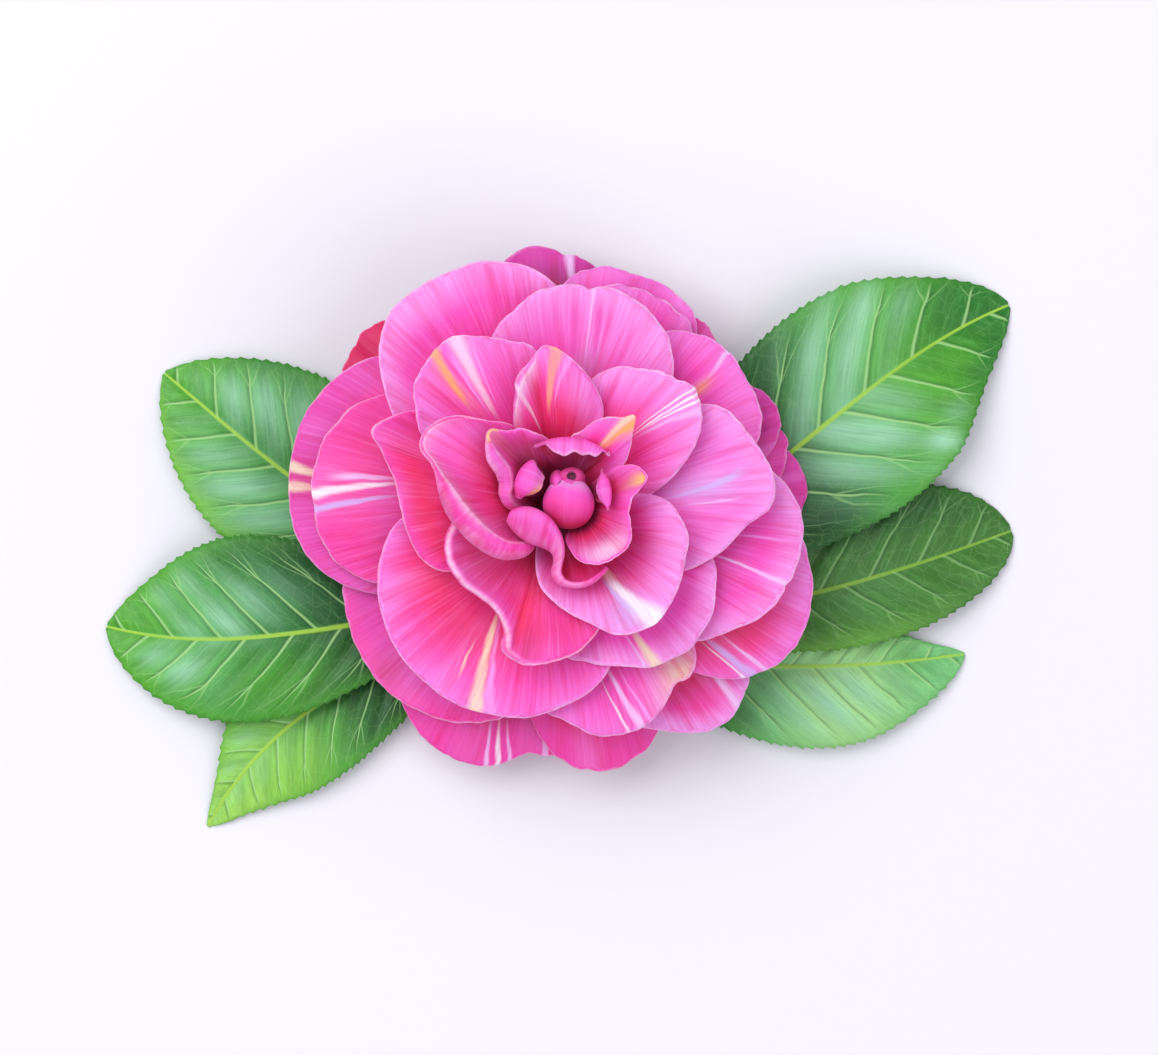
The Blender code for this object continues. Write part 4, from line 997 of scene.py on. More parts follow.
# painted shade and light: core and tip run from wine low down to raspberry higher up
throat, blade = palette["wine"], palette["raspberry"]
for solid, wobble in ((bud["core"], 0.02), (bud["tip"], 0.05)):
    rings = turned(solid["profile"], solid["centre"], 40, 26, wobble)
    rings[..., 1] = solid["centre"][1] + (rings[..., 1] - solid["centre"][1]) * solid.get("squeeze", 1.0)
    points, faces = closedRings(rings)
    parts.append((points, faces))
    rise = smoothStep(solid["centre"][2] + 1, solid["centre"][2] + 7, points[:, 2:])
    wash = throat + (blade - throat) * rise
    # painted shade: close to the upright line through the centre the wash turns nearly black-red, the shade
    # in the tip's pit and at the core's top
    middle = np.linalg.norm(points[:, :2] - np.array(solid["centre"][:2]), axis=1)[:, None]
    washes.append(wash + (palette["deepWine"] * 0.4 - wash) * (1 - smoothStep(0.7, 1.1, middle)))
    around = np.arctan2(points[:, 1] - solid["centre"][1], points[:, 0] - solid["centre"][0])
    budMaps.append(np.stack([around * 3.5, points[:, 2]], axis=-1))
for number, wrap in enumerate(bud["wraps"]):
    sheet, u, v = budWrap(wrap, 300 + number)
    foot, tip = bud["thickness"]
    points, faces = shellParts(sheet, foot + (tip - foot) * v)
    parts.append((points, faces))
    # painted shade and light: each wrap darker at its foot and brighter towards its top edge, which is pale
    # as a painted highlight
    names = wrap.get("wash", bud["wash"])
    stops = np.linspace(0.12, 0.9, len(names))
    wash = washAlong(names, stops, v + 0.06 * ripple(340 + number, u * 2, v * 2, 2.5))
    wash = wash + (palette["rimWhite"] - wash) * smoothStep(0.97, 1.0, v)[..., None] * 0.5
    washes.append(np.tile(wash.reshape(-1, 3), (2, 1)))
    budMaps.append(np.tile(np.stack([u * 5 + 20 * number, v * 11], axis=-1).reshape(-1, 2), (2, 1)))
points, faces = joined(parts)
meshPiece("bud_heart_petals", points, faces, ["bud_heart"],
          petalFlesh("bud_heart_skin", dict(petalSkin, veinDepth=0.2, rayDepth=0.08, paleLines=0.08)),
          maps={"petalMap": np.concatenate(budMaps)}, tints={"petalWash": np.concatenate(washes)})
print("bud made")


def twigBark(settings):
    # Camellia twig: smooth young bark, brown over green, with fine lengthwise cracks and small pale
    # breathing pores. The cut end is bare pale wood with rings and a browner pith.
    material, tree = newMaterial("camelliaTwigBark")
    cut = node(tree, "Attribute", attribute_name="cutPart")
    place = node(tree, "UVMap", uv_map="barkMap")
    stretched = node(tree, "Mapping", {"Vector": place.outputs["UV"], "Scale": (1 / settings["crackSpacing"],
                                                                               1 / settings["crackLength"],
                                                                                1)})
    cracks = node(tree, "TexNoise",
                  {"Vector": stretched.outputs["Vector"], "Scale": 1.0, "Detail": 4.0, "Roughness": 0.65})
    where = node(tree, "TexCoord")
    clouds = node(tree, "TexNoise",
                  {"Vector": where.outputs["Object"], "Scale": 1 / settings["cloudSize"], "Detail": 2.0})
    pores = node(tree, "TexVoronoi",
                 {"Vector": where.outputs["Object"], "Scale": 1 / settings["poreSpacing"]})
    bark = node(tree, "Mix", {"Factor": clouds.outputs["Fac"], "A": rgba("bark"), "B": rgba("barkGreen")},
                data_type="RGBA")
    crackShade = node(tree, "MapRange", {"Value": cracks.outputs["Fac"], "From Min": 0.35, "From Max": 0.6,
                                         "To Min": 0.55, "To Max": 0.0})
    darker = node(tree, "Mix", {"Factor": crackShade.outputs["Result"], "A": bark.outputs["Result"],
                                "B": (0.05, 0.03, 0.02, 1)}, data_type="RGBA")
    poreMask = node(tree, "MapRange", {"Value": pores.outputs["Distance"], "From Min": 0.12, "From Max": 0.2,
                                       "To Min": 0.7, "To Max": 0.0})
    dotted = node(tree, "Mix", {"Factor": poreMask.outputs["Result"], "A": darker.outputs["Result"],
                                "B": rgba("wood")}, data_type="RGBA")
    rings = node(tree, "Math", {0: cut.outputs["Fac"], 1: 34.0}, operation="MULTIPLY")
    ringWave = node(tree, "Math", {0: rings.outputs["Value"]}, operation="SINE")
    ringPart = node(tree, "MapRange", {"Value": ringWave.outputs["Value"], "From Min": -1.0, "From Max": 1.0,
                                       "To Min": 0.0, "To Max": 0.45})
    wood = node(tree, "Mix", {"Factor": ringPart.outputs["Result"], "A": rgba("wood"), "B": rgba("pith")},
                data_type="RGBA")
    isCut = node(tree, "Math", {0: cut.outputs["Fac"], 1: 0.02}, operation="GREATER_THAN")
    colour = node(tree, "Mix", {"Factor": isCut.outputs["Value"], "A": dotted.outputs["Result"],
                                "B": wood.outputs["Result"]}, data_type="RGBA")
    rough = node(tree, "MapRange", {"Value": cracks.outputs["Fac"], "To Min": 0.85, "To Max": 0.55})
    bump = node(tree, "Bump", {"Height": cracks.outputs["Fac"], "Strength": 0.6, "Distance": 0.0003})
    skin = node(tree, "BsdfPrincipled",
                {"Base Color": colour.outputs["Result"], "Roughness": rough.outputs["Result"],
                 "Normal": bump.outputs["Normal"], "IOR": 1.5, "Specular IOR Level": 0.3})
    node(tree, "OutputMaterial", {"Surface": skin.outputs["BSDF"]})
    return material


twig = {
    "route": ((-3.4, -35.0, 2.15), (-2.2, -24.0, 2.15), (-1.4, -14.0, 2.15), (-1.2, -5.5, 2.5),
              (-1.6, 1.0, 4.6),
              (-2.1, 4.6, 7.7), (-2.2, 5.4, 9.5)),
    "radius": (2.1, 1.8), "sides": 28, "rings": 150,
    "nodes": (0.14, 0.26, 0.35, 0.42, 0.52, 0.62), "nodeSwell": 0.12, "nodeWidth": 0.018, "unevenness": 0.03,
    "bark": {"crackSpacing": 0.5, "crackLength": 6.0, "cloudSize": 0.008, "poreSpacing": 0.0022},
}


def makeTwig():
    # a round profile carried along the route, swollen at the leaf joints, then stepped in over the cut end
    s = np.linspace(0, 1, twig["rings"])
    path = smoothCurve(twig["route"], s)
    ahead = unit(np.gradient(path, axis=0))
    side = unit(np.cross(ahead, np.array([0, 0, 1.0])))
    above = np.cross(side, ahead)
    turn = np.linspace(0, 2 * np.pi, twig["sides"], endpoint=False)
    radius = twig["radius"][0] + (twig["radius"][1] - twig["radius"][0]) * s
    swell = sum(hill(s, place, twig["nodeWidth"]) for place in twig["nodes"]) * twig["nodeSwell"]
    rough = twig["unevenness"] * ripple(7, s[:, None] * 30, np.cos(turn)[None, :] * 2, 1.5)
    full = (radius * (1 + swell))[:, None] * (1 + rough)
    full = np.minimum(full, (path[:, 2:] - 0.02) / np.maximum(-above[:, 2:] * np.sin(turn), 0.5))
    rings = path[:, None] + full[..., None] * (np.cos(turn)[None, :, None] * side[:, None]
                                               + np.sin(turn)[None, :, None] * above[:, None])
    shares = np.array([0.3, 0.6, 0.85, 0.97])
    cutRings = path[0] + shares[:, None, None] * (rings[0] - path[0])
    cutRings = cutRings + ahead[0] * (0.1 * (1 - shares) + 0.02)[:, None, None] * -1
    rings = np.concatenate([cutRings, rings])
    points, faces = closedRings(rings[:, ::-1])
    cutPart = np.zeros(len(rings))
    cutPart[:4] = 1.05 - shares
    cutFull = np.concatenate([np.repeat(cutPart, twig["sides"]), [1.05, 0.0]])
    around = np.tile(turn * 2.0, len(rings))
    along = np.repeat(np.concatenate([np.zeros(4), s * 45]), twig["sides"])
    barkMap = np.concatenate([np.stack([around, along], axis=-1), np.zeros((2, 2))])
    meshPiece("twig_bark_fine", points, faces, ["twig"], twigBark(twig["bark"]),
              maps={"barkMap": barkMap}, floats={"cutPart": cutFull})


makeTwig()
print("twig made")


def waxyLeaf(settings):
    # Camellia leaf: thick, leathery, with a waxy gloss over deep green. The wash, with its painted
    # sheen and shade, runs along each blade. Side veins are pale lines where the vein count is a whole
    # number and a half, with a dark line of painted shadow on the side towards the tip; near the margin
    # each one forks. Fine grain runs along the veins, a faint net joins them and the midrib is yellow-green.
    # The net's cells are about 1.5 mm on a real leaf and are drawn 3 mm wide.
    material, tree = newMaterial("camelliaLeafWax")
    tint = node(tree, "Attribute", attribute_name="leafWash")
    ribPart = node(tree, "Attribute", attribute_name="ribPart")
    place = node(tree, "TexCoord")
    warp = node(tree, "TexNoise",
                {"Vector": place.outputs["Object"], "Scale": 1 / settings["warpSize"], "Detail": 2.0})
    cells = node(tree, "TexNoise",
                 {"Vector": place.outputs["Object"], "Scale": 1 / settings["cellSize"], "Detail": 3.0})
    veinMap = node(tree, "UVMap", uv_map="veinMap")
    parted = node(tree, "SeparateXYZ", {"Vector": veinMap.outputs["UV"]})
    centre = node(tree, "Math", {0: warp.outputs["Fac"], 1: 0.5}, operation="SUBTRACT")
    wander = node(tree, "Math", {0: parted.outputs["Y"], 1: settings["veinWander"]}, operation="MULTIPLY")
    shifted = node(tree, "Math",
                   {0: centre.outputs["Value"], 1: wander.outputs["Value"], 2: parted.outputs["X"]},
                   operation="MULTIPLY_ADD")
    beyond = node(tree, "Math", {0: parted.outputs["Y"], 1: settings["forkFrom"]}, operation="SUBTRACT")
    past = node(tree, "Math", {0: beyond.outputs["Value"], 1: 0.0}, operation="MAXIMUM")
    veinWidth = node(tree, "MapRange", {"Value": parted.outputs["Y"], "To Min": settings["veinWidth"],
                                        "To Max": settings["veinWidth"] * 0.3})
    masks = []
    for spread, part, ends in ((0.0, settings["veinPart"], 0.92),
                               (settings["forkSpread"], settings["forkPart"], 0.97),
                               (-settings["forkSpread"] * 1.3, settings["forkPart"], 0.95)):
        forked = node(tree, "Math", {0: past.outputs["Value"], 1: spread, 2: shifted.outputs["Value"]},
                      operation="MULTIPLY_ADD")
        turn = node(tree, "Math", {0: forked.outputs["Value"]}, operation="FRACT")
        fromLine = node(tree, "Math", {0: turn.outputs["Value"], 1: 0.5}, operation="SUBTRACT")
        away = node(tree, "Math", {0: fromLine.outputs["Value"]}, operation="ABSOLUTE")
        share = node(tree, "Math", {0: away.outputs["Value"], 1: veinWidth.outputs["Result"]},
                     operation="DIVIDE")
        line = node(tree, "MapRange", {"Value": share.outputs["Value"], "From Min": 0.3, "From Max": 1.6,
                                       "To Min": part, "To Max": 0.0}, interpolation_type="SMOOTHSTEP")
        fade = node(tree, "MapRange",
                    {"Value": parted.outputs["Y"], "From Min": ends - 0.25, "From Max": ends,
                     "To Min": 1.0, "To Max": 0.0})
        masks.append((fromLine, fade,
                      node(tree, "Math", {0: line.outputs["Result"], 1: fade.outputs["Result"]},
                           operation="MULTIPLY")))
    forks = node(tree, "Math", {0: masks[1][2].outputs["Value"], 1: masks[2][2].outputs["Value"]},
                 operation="MAXIMUM")
    allVeins = node(tree, "Math", {0: masks[0][2].outputs["Value"], 1: forks.outputs["Value"]},
                    operation="MAXIMUM")
    paleness = node(tree, "Attribute", attribute_name="veinPaleness")
    veinMask = node(tree, "Math", {0: allVeins.outputs["Value"], 1: paleness.outputs["Fac"]},
                    operation="MULTIPLY")
    # painted shadow: a dark line beside each side vein, on the side towards the tip
    beside = node(tree, "MapRange",
                  {"Value": masks[0][0].outputs["Value"], "From Min": 0.01, "From Max": 0.16,
                   "To Min": settings["veinShade"], "To Max": 0.0}, interpolation_type="SMOOTHSTEP")
    before = node(tree, "Math", {0: masks[0][0].outputs["Value"], 1: 0.0}, operation="GREATER_THAN")
    shadeSide = node(tree, "Math", {0: beside.outputs["Result"], 1: before.outputs["Value"]},
                     operation="MULTIPLY")
    shadeMask = node(tree, "Math", {0: shadeSide.outputs["Value"], 1: masks[0][1].outputs["Result"]},
                     operation="MULTIPLY")
    grainPlace = node(tree, "Mapping", {"Vector": veinMap.outputs["UV"], "Scale": settings["grainScale"]})
    grain = node(tree, "TexNoise",
                 {"Vector": grainPlace.outputs["Vector"], "Scale": 1.0, "Detail": 4.0, "Roughness": 0.65})
    net = node(tree, "TexVoronoi", {"Vector": place.outputs["Object"], "Scale": 1 / settings["netSize"],
                                    "Randomness": 0.9}, feature="DISTANCE_TO_EDGE")
    netMask = node(tree, "MapRange", {"Value": net.outputs["Distance"], "From Min": 0.005, "From Max": 0.05,
                                      "To Min": settings["netPart"], "To Max": 0.0})
    grainPart = node(tree, "MapRange", {"Value": grain.outputs["Fac"], "From Min": 0.3, "From Max": 0.6,
                                        "To Min": settings["grainPart"], "To Max": 0.0})
    lightPart = node(tree, "MapRange", {"Value": grain.outputs["Fac"], "From Min": 0.5, "From Max": 0.8,
                                        "To Min": 0.0, "To Max": settings["grainPart"]})
    shaded = node(tree, "Mix", {"Factor": grainPart.outputs["Result"], "A": tint.outputs["Color"],
                                "B": rgba("leafShade")}, data_type="RGBA")
    lighted = node(tree, "Mix", {"Factor": lightPart.outputs["Result"], "A": shaded.outputs["Result"],
                                 "B": rgba("leafPale")}, data_type="RGBA")
    netted = node(tree, "Mix", {"Factor": netMask.outputs["Result"], "A": lighted.outputs["Result"],
                                "B": rgba("ribPale")}, data_type="RGBA")
    besideVein = node(tree, "Mix", {"Factor": shadeMask.outputs["Value"], "A": netted.outputs["Result"],
                                    "B": rgba("leafDark")}, data_type="RGBA")
    veined = node(tree, "Mix", {"Factor": veinMask.outputs["Value"], "A": besideVein.outputs["Result"],
                                "B": rgba("ribPale")}, data_type="RGBA")
    ribbed = node(tree, "Mix", {"Factor": ribPart.outputs["Fac"], "A": veined.outputs["Result"],
                                "B": rgba("ribLime")}, data_type="RGBA")
    rough = node(tree, "MapRange", {"Value": cells.outputs["Fac"], "To Min": settings["roughness"] - 0.06,
                                    "To Max": settings["roughness"] + 0.14})
    relief = node(tree, "Math", {0: netMask.outputs["Result"], 1: -2.0, 2: cells.outputs["Fac"]},
                  operation="MULTIPLY_ADD")
    bump = node(tree, "Bump", {"Height": relief.outputs["Value"], "Strength": 0.35, "Distance": 0.0002})
    skin = node(tree, "BsdfPrincipled", {
        "Base Color": ribbed.outputs["Result"], "Roughness": rough.outputs["Result"],
        "Normal": bump.outputs["Normal"], "IOR": 1.4, "Specular IOR Level": 0.3,
        "Coat Weight": settings["wax"], "Coat Roughness": 0.25, "Coat IOR": 1.4})
    node(tree, "OutputMaterial", {"Surface": skin.outputs["BSDF"]})
    return material


leafWax = waxyLeaf({"warpSize": 0.011, "veinWander": 0.6, "cellSize": 0.0012, "veinWidth": 0.04,
                    "veinPart": 0.8,
                    "forkFrom": 0.55, "forkSpread": 0.9, "forkPart": 0.38, "veinShade": 0.5,
                    "grainScale": (16.0, 2.2, 1.0), "grainPart": 0.3, "netSize": 0.003, "netPart": 0.08,
                    "roughness": 0.4, "wax": 0.1})

leafShape = {
    "rows": 210, "columns": 59, "stalkRadius": 0.9, "stalkPart": 0.09, "midribPull": 0.36,
    "thickness": (0.55, 0.35), "fold": 0.08, "curl": 0.003,
    "toothSpacing": 2.2, "toothDepth": 0.6, "veins": 8, "veinSlope": 0.95, "veinBend": 0.012, "pucker": 0.55,
    "wave": 0.35, "ribHalf": 0.75, "acumen": (0.0, 0.0), "margin": "leafVivid", "marginPart": 0.5,
    "lit": "leafSheen",
    "washStops": (0.38, 0.5, 0.62, 0.76, 0.92), "ribPart": 0.95, "veinPaleness": 0.9,
}
# Each leaf: foot and tip in plan, headings at both, widths left and right of the heading, how far
# along it is widest, how blunt, five heights along the midrib; its wash at five places from foot
# to tip, darker towards the foot as painted shade under the bloom; then painted highlights, sheen
# painted where light pools between veins (along, across, lengths of both, part), and coloured
# patches, with across -1 at the right margin and 1 at the left.
leaves = {
    "leaf_left_upper": {
        "foot": (-4.0, -8), "tip": (-77.3, 32.3), "headings": (176, 140), "sides": (17.5, 20.0),
        "fullest": 0.60, "blunt": 0.68, "heights": (2.4, 3.2, 3.6, 3.2, 0.3),
        "wash": ("leafDark", "leafDeep", "leafMid", "leafMid", "leafVivid"),
        "sheens": ((0.7, 0.48, 0.18, 0.34, 0.85), (0.82, -0.42, 0.1, 0.3, 0.9), (0.68, -0.5, 0.08, 0.3, 0.7)),
        "patches": ((0.62, -0.12, 0.08, 0.3, "leafDeep", 0.8), (0.82, -0.95, 0.1, 0.2, "leafDeep", 0.8),
                    (0.78, 1.0, 0.3, 0.22, "leafBright", 0.9), (0.75, -0.12, 0.12, 0.16, "leafDeep", 0.5))},
    "leaf_left_middle": {
        "foot": (-4.2, -13.5), "tip": (-88.5, -17.2), "headings": (178, 166), "sides": (16.5, 20.0),
        "fullest": 0.64, "blunt": 0.65, "heights": (3.0, 5.4, 6.6, 5.4, 0.3),
        "wash": ("leafDark", "leafShade", "leafDeep", "leafMid", "leafVivid"),
        "sheens": ((0.84, 0.4, 0.08, 0.26, 0.9), (0.74, -0.15, 0.1, 0.2, 0.75), (0.66, -0.4, 0.12, 0.25, 0.5),
                   (0.85, -0.6, 0.08, 0.25, 0.5)),
        # painted shade under the bloom: the leafDark patch on the upper half nearest the foot
        "patches": ((0.5, -0.85, 0.14, 0.35, "leafDark", 0.7), (0.6, 0.6, 0.12, 0.35, "leafVivid", 0.6),
                    (0.7, -0.8, 0.1, 0.2, "leafShade", 0.6))},
    "leaf_left_lower": {
        "foot": (-4.5, -19), "tip": (-68.8, -56.2), "headings": (182, 242), "sides": (14.0, 10.5),
        "fullest": 0.58, "blunt": 0.72, "heights": (2.2, 2.8, 3.0, 2.4, 0.3), "acumen": (0.15, 0.5),
        "wash": ("leafDark", "leafShade", "leafMid", "leafBright", "leafLime"), "veins": 9,
        "sheens": ((0.85, 0.2, 0.15, 0.3, 0.25), (0.78, -0.5, 0.12, 0.3, 0.35)),
        "patches": ((0.74, 0.45, 0.14, 0.4, "leafLime", 0.5), (0.82, -0.2, 0.14, 0.35, "leafLime", 0.6))},
    "leaf_right_upper": {
        "foot": (1.3, -4), "tip": (87.6, 45.6), "headings": (6, 22), "sides": (21.0, 22.0),
        "fullest": 0.60, "blunt": 0.6, "heights": (3.4, 6.2, 7.6, 6.6, 0.3), "acumen": (0.15, 0.2),
        "wash": ("leafDark", "leafShade", "leafMid", "leafVivid", "leafDeep"), "marginPart": 0.25,
        "sheens": ((0.58, -0.3, 0.1, 0.4, 0.85), (0.67, 0.45, 0.09, 0.35, 0.85),
                   (0.66, -0.35, 0.08, 0.3, 0.8),
                   (0.75, -0.8, 0.06, 0.16, 1.0), (0.77, 0.7, 0.08, 0.3, 0.7), (0.58, 0.2, 0.06, 0.2, 0.5)),
        # painted shade under the bloom: the leafShade and leafDark patches nearest the foot
        "patches": ((0.56, 0.85, 0.09, 0.3, "leafShade", 0.95), (0.96, 0.0, 0.06, 1.0, "leafDeep", 0.7),
                    (0.84, -0.35, 0.08, 0.3, "leafVivid", 0.8), (0.45, -0.8, 0.08, 0.4, "leafDark", 0.7))},
    "leaf_right_middle": {
        "foot": (1.1, -13), "tip": (88.1, 1.5), "headings": (-8, 20), "sides": (17.0, 12.5),
        "fullest": 0.66, "blunt": 0.48, "heights": (2.8, 4.2, 5.2, 4.6, 0.3), "ribPart": 0.5,
        "veinPaleness": 0.45,
        "wash": ("leafShade", "leafOlive", "leafOlive", "leafOlive", "leafOlive"), "margin": "leafOlive",
        "lit": "leafPale", "sheens": ((0.66, -0.3, 0.1, 0.4, 0.25),),
        # painted shadow of leaf_right_upper: the leafDark patch on the upper half
        "patches": ((0.7, 0.7, 0.3, 0.35, "leafDark", 0.8), (0.6, -1.0, 0.2, 0.3, "leafBright", 0.5))},
    "leaf_right_lower": {
        "foot": (0.6, -22), "tip": (79.0, -22.6), "headings": (-6, 8), "sides": (9.0, 16.0),
        "fullest": 0.60, "blunt": 0.65, "heights": (2.2, 2.6, 2.9, 2.5, 0.3), "acumen": (0.35, 0.1),
        "wash": ("leafDeep", "leafPale", "leafMist", "leafMist", "leafPale"), "marginPart": 0.3,
        "ribPart": 0.8,
        "sheens": ((0.68, -0.45, 0.14, 0.4, 0.9),),
        "patches": ((0.6, 0.4, 0.2, 0.4, "leafPale", 0.4), (0.86, 0.1, 0.06, 0.6, "leafMid", 0.5))},
}


def bladeWidth(s, side, acumen, look):
    # half width along the leaf: the stalk, then a blade that swells and closes at the tip, drawn
    # in before the tip by acumen where the tip is long and pointed
    blade = np.clip((s - look["stalkPart"]) / (1 - look["stalkPart"]), 0, 1)
    peak = np.log(0.5) / np.log(look["fullest"])
    width = side * np.sin(np.pi * np.clip(blade, 0, 0.9985) ** peak) ** look["blunt"]
    width = width * (1 - acumen * smoothStep(0.72, 0.95, blade))
    return np.maximum(width, np.where(s < 0.5, look["stalkRadius"], 0.12))


def makeLeaf(name, spec, seed):
    # A leaf is a strip about a curved midrib, s along it and w across. The blade folds up from the
    # midrib, bulges between side veins that arch to the tip, and has forward-pointing teeth.
    look = dict(leafShape, **spec)
    s = np.linspace(0, 1, look["rows"])
    x = np.linspace(-1, 1, look["columns"])
    w = (x * (0.42 + 0.58 * x ** 2))[None, :]
    foot, tip = np.array(look["foot"], float), np.array(look["tip"], float)
    pull = look["midribPull"] * np.linalg.norm(tip - foot)
    start, end = (np.array([np.cos(t), np.sin(t)]) for t in np.radians(look["headings"]))
    knots = (foot, foot + pull * start, tip - pull * end, tip)
    path = bezier(s[:, None], knots)
    ahead = unit(np.gradient(path, axis=0))
    left = np.stack([-ahead[:, 1], ahead[:, 0]], axis=-1)
    length = np.linalg.norm(np.diff(path, axis=0), axis=1).sum()
    leftWidth, rightWidth = (bladeWidth(s, side, acumen, look)[:, None]
                             for side, acumen in zip(look["sides"], look["acumen"]))
    widths = np.where(w > 0, leftWidth, rightWidth)
    blade = np.clip((s - look["stalkPart"]) / (1 - look["stalkPart"]), 0, 1)[:, None]
    toothPlace = s[:, None] * length * 1.12 / look["toothSpacing"] + 0.15 * ripple(seed + 5, s[:, None] * 9,
                                                                                   np.sign(w), 3)
    tooth = (toothPlace % 1.0) ** 1.6 * smoothStep(0.12, 0.3, blade) * (1 - smoothStep(0.97, 1.0, blade))
    margin = smoothStep(0.8, 1.0, np.abs(w))
    offset = w * widths + np.sign(w) * margin * (tooth - 0.45) * look["toothDepth"] * smoothStep(1.5, 6,
                                                                                                 widths)
    side = np.abs(w)
    lateral = side * widths
    sweep = (look["veinSlope"] * lateral + look["veinBend"] * lateral ** 2) / length
    phase = look["veins"] * (blade - sweep) + np.where(w > 0, 0.35, 0.85)
    away = np.abs(phase % 1.0 - 0.5)
    flat = np.clip((s[:, None] - look["stalkPart"]) / look["stalkPart"], 0, 1)
    surface = smoothCurve(np.array(look["heights"])[:, None], s)
    surface = surface + flat * (look["fold"] * np.abs(offset) - look["curl"] * offset ** 2)
    full = flat * smoothStep(0.04, 0.25,
                             side) * (1 - smoothStep(0.75, 1.0, side)) * (1 - smoothStep(0.9, 1.0, blade))
    bulge = look["pucker"] * (smoothStep(0.0, 0.32, 0.5 - away) - 0.5)
    surface = surface + full * bulge
    surface = surface + flat * look["wave"] * ripple(seed, s[:, None] * 5.5, w * 1.3, 2.0) * side ** 1.5
    ribHalf = look["ribHalf"] * (1 - 0.75 * blade)
    rib = hill(offset, 0, ribHalf)
    surface = surface + flat * (0.16 * rib - 0.32 * hill(offset, 0, ribHalf * 4.0))
    bladeThick = look["thickness"][1] + (look["thickness"][0] - look["thickness"][1]) * (1 - side)
    stalkThick = 2 * look["stalkRadius"] * np.sqrt(np.clip(1 - 0.9 * w ** 2, 0, 1))
    thick = flat * bladeThick * (1 - 0.5 * smoothStep(0.85, 1.0, side)) + (1 - flat) * stalkThick
    surface = np.maximum(surface, thick / 2 + 0.03)
    plan = path[:, None] + offset[..., None] * left[:, None]
    sheet = np.concatenate([plan, surface[..., None]], axis=-1)
    points, faces = shellParts(sheet, thick)
    along = s[:, None] + 0.03 * ripple(seed + 15, blade * 4, w * 1.5, 2)
    wash = washAlong(look["wash"], look["washStops"], along)
    wash = wash + (palette[look["margin"]] - wash) * smoothStep(0.72, 1.0,
                                                                side)[..., None] * look["marginPart"]
    wash = dabbed(wash, s[:, None], w, look["patches"])
    # painted highlight: the sheen is strongest near the middle of each panel between side veins
    panel = 0.25 + 0.75 * np.sin(np.pi * ((phase + 0.42) % 1.0)) ** 2
    for centreS, centreW, wideS, wideW, part in look["sheens"]:
        cover = part * hill(s[:, None], centreS, wideS) * hill(w, centreW, wideW) * panel
        wash = stained(wash, look["lit"], cover)
    wash = stained(wash, "stalk", 1 - flat * np.ones_like(w))
    # painted light and shade: a little lighter near the side veins, where the pucker raises the blade, and
    # darker midway between them, where it dips
    wash = wash * (0.9 + 0.2 * smoothStep(0.0, 0.4, 0.5 - away) * full + 0.1 * (1 - full))[..., None]
    under = wash + (palette["leafPale"] - wash) * 0.6
    ribPart = 1 - smoothStep(0.55, 1.1, np.abs(offset) / ribHalf)
    ribPart = ribPart * smoothStep(0.0, 0.1, s)[:, None] * look["ribPart"]
    veinMap = np.stack([phase, side * np.ones_like(phase)], axis=-1).reshape(-1, 2)
    meshPiece(name + "_blade", points, faces, [name], leafWax,
              maps={"veinMap": np.tile(veinMap, (2, 1))},
              tints={"leafWash": np.concatenate([wash.reshape(-1, 3), under.reshape(-1, 3)])},
              floats={"ribPart": np.tile(ribPart.ravel(), 2),
                      "veinPaleness": np.full(2 * ribPart.size, look["veinPaleness"])})


for number, (name, spec) in enumerate(leaves.items()):
    makeLeaf(name, spec, 500 + number)
print("leaves made")


def calyxFlesh(settings):
    # Receptacle: firm green tissue under the bloom with a faint bloom of fine hairs, turned to deep
    # wine red towards the top, where it shows deep in the heart of the bloom: painted shade.
    material, tree = newMaterial("camelliaReceptacle")
    place = node(tree, "TexCoord")
    parted = node(tree, "SeparateXYZ", {"Vector": place.outputs["Object"]})
    clouds = node(tree, "TexNoise",
                  {"Vector": place.outputs["Object"], "Scale": 1 / settings["cloudSize"], "Detail": 3.0})
    cells = node(tree, "TexNoise",
                 {"Vector": place.outputs["Object"], "Scale": 1 / settings["cellSize"], "Detail": 2.0})
    wavering = node(tree, "Math",
                    {0: clouds.outputs["Fac"], 1: settings["shadeWander"], 2: parted.outputs["Z"]},
                    operation="MULTIPLY_ADD")
    # painted shade: the top of the receptacle turns deep wine red
    topShade = node(tree, "MapRange", {"Value": wavering.outputs["Value"], "From Min": settings["shadeFrom"],
                                    "From Max": settings["shadeTo"]}, interpolation_type="SMOOTHSTEP")
    green = node(tree, "Mix", {"Factor": clouds.outputs["Fac"], "A": rgba("sepal"), "B": rgba("stalk")},
                 data_type="RGBA")
    colour = node(tree, "Mix",
                  {"Factor": topShade.outputs["Result"], "A": green.outputs["Result"], "B": rgba("deepWine")},
                  data_type="RGBA")
    rough = node(tree, "MapRange", {"Value": cells.outputs["Fac"], "To Min": 0.45, "To Max": 0.7})
    bump = node(tree, "Bump", {"Height": cells.outputs["Fac"], "Strength": 0.3, "Distance": 0.0002})
    skin = node(tree, "BsdfPrincipled",
                {"Base Color": colour.outputs["Result"], "Roughness": rough.outputs["Result"],
                 "Normal": bump.outputs["Normal"], "IOR": 1.42, "Subsurface Weight": 0.08,
                 "Subsurface Scale": 0.001})
    node(tree, "OutputMaterial", {"Surface": skin.outputs["BSDF"]})
    return material


receptacleLook = {"cloudSize": 0.004, "cellSize": 0.0008, "shadeWander": 0.004, "shadeFrom": 0.014,
                  "shadeTo": 0.019}
calyx = calyxFlesh(receptacleLook)
for slotNumber in range(len(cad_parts["receptacle"].material_slots)):
    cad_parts["receptacle"].material_slots[slotNumber].material = calyx
print("receptacle coloured")


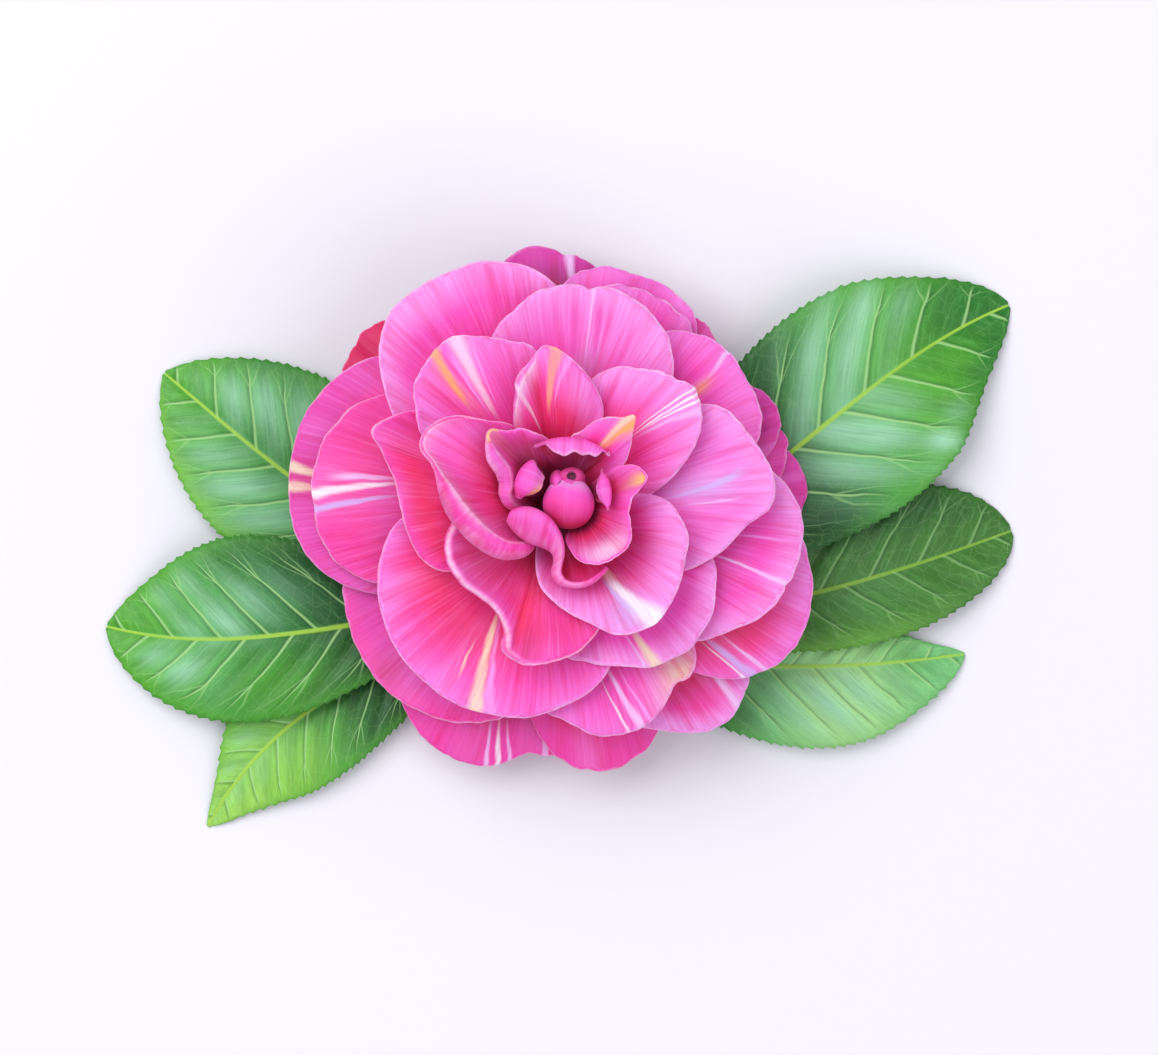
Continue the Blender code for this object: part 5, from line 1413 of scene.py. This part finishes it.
# camera, lights and floor
view = {"height": 1.2574, "place": (0.0037, 0.00215), "lens": 200, "sensor": 36}
camera = bpy.data.objects.new("camera", bpy.data.cameras.new("camera"))
camera.data.lens, camera.data.sensor_width = view["lens"], view["sensor"]
camera.data.clip_start, camera.data.clip_end = 0.05, 20
camera.location = (*view["place"], view["height"])
bpy.context.scene.collection.objects.link(camera)
bpy.context.scene.camera = camera

floorLook = {"size": 4.0, "colour": "EDEDF3", "roughness": 0.85}
floorMesh = bpy.data.meshes.new("floor")
half = floorLook["size"] / 2
floorMesh.from_pydata([(-half, -half, 0), (half, -half, 0), (half, half, 0), (-half, half, 0)], [],
                      [(0, 1, 2, 3)])
floor = bpy.data.objects.new("floor", floorMesh)
bpy.context.scene.collection.objects.link(floor)
floorPaper, floorTree = newMaterial("floorPaper")
paper = node(floorTree, "BsdfPrincipled", {"Base Color": (*linear(floorLook["colour"]), 1),
                                           "Roughness": floorLook["roughness"], "Specular IOR Level": 0.1})
node(floorTree, "OutputMaterial", {"Surface": paper.outputs["BSDF"]})
floorMesh.materials.append(floorPaper)

lights = {
    "keyLight": {"place": (-0.55, 0.45, 1.05), "size": 1.1, "power": 11.4, "colour": "FFFFFF"},
    "fillLight": {"place": (0.7, -0.5, 0.9), "size": 1.3, "power": 5.9, "colour": "FFF6FF"},
}
for name, light in lights.items():
    lamp = bpy.data.lights.new(name, "AREA")
    lamp.size, lamp.energy = light["size"], light["power"]
    lamp.color = linear(light["colour"])
    holder = bpy.data.objects.new(name, lamp)
    holder.location = light["place"]
    aim = -unit(np.array(light["place"]) - np.array([0, 0, 0.02]))
    holder.rotation_mode = "QUATERNION"
    holder.rotation_quaternion = Vector(aim).to_track_quat("-Z", "Y")
    holder.visible_camera = False
    bpy.context.scene.collection.objects.link(holder)
studio = {"colour": "F6F4FF", "strength": 0.52}
world = bpy.data.worlds.new("studio")
world.use_nodes = True
backdrop = world.node_tree.nodes["Background"].inputs
backdrop["Color"].default_value = (*linear(studio["colour"]), 1)
backdrop["Strength"].default_value = studio["strength"]
bpy.context.scene.world = world
bpy.context.scene.view_settings.view_transform = "Standard"
bpy.context.scene.view_settings.look = "None"
print("camera, lights and floor made")
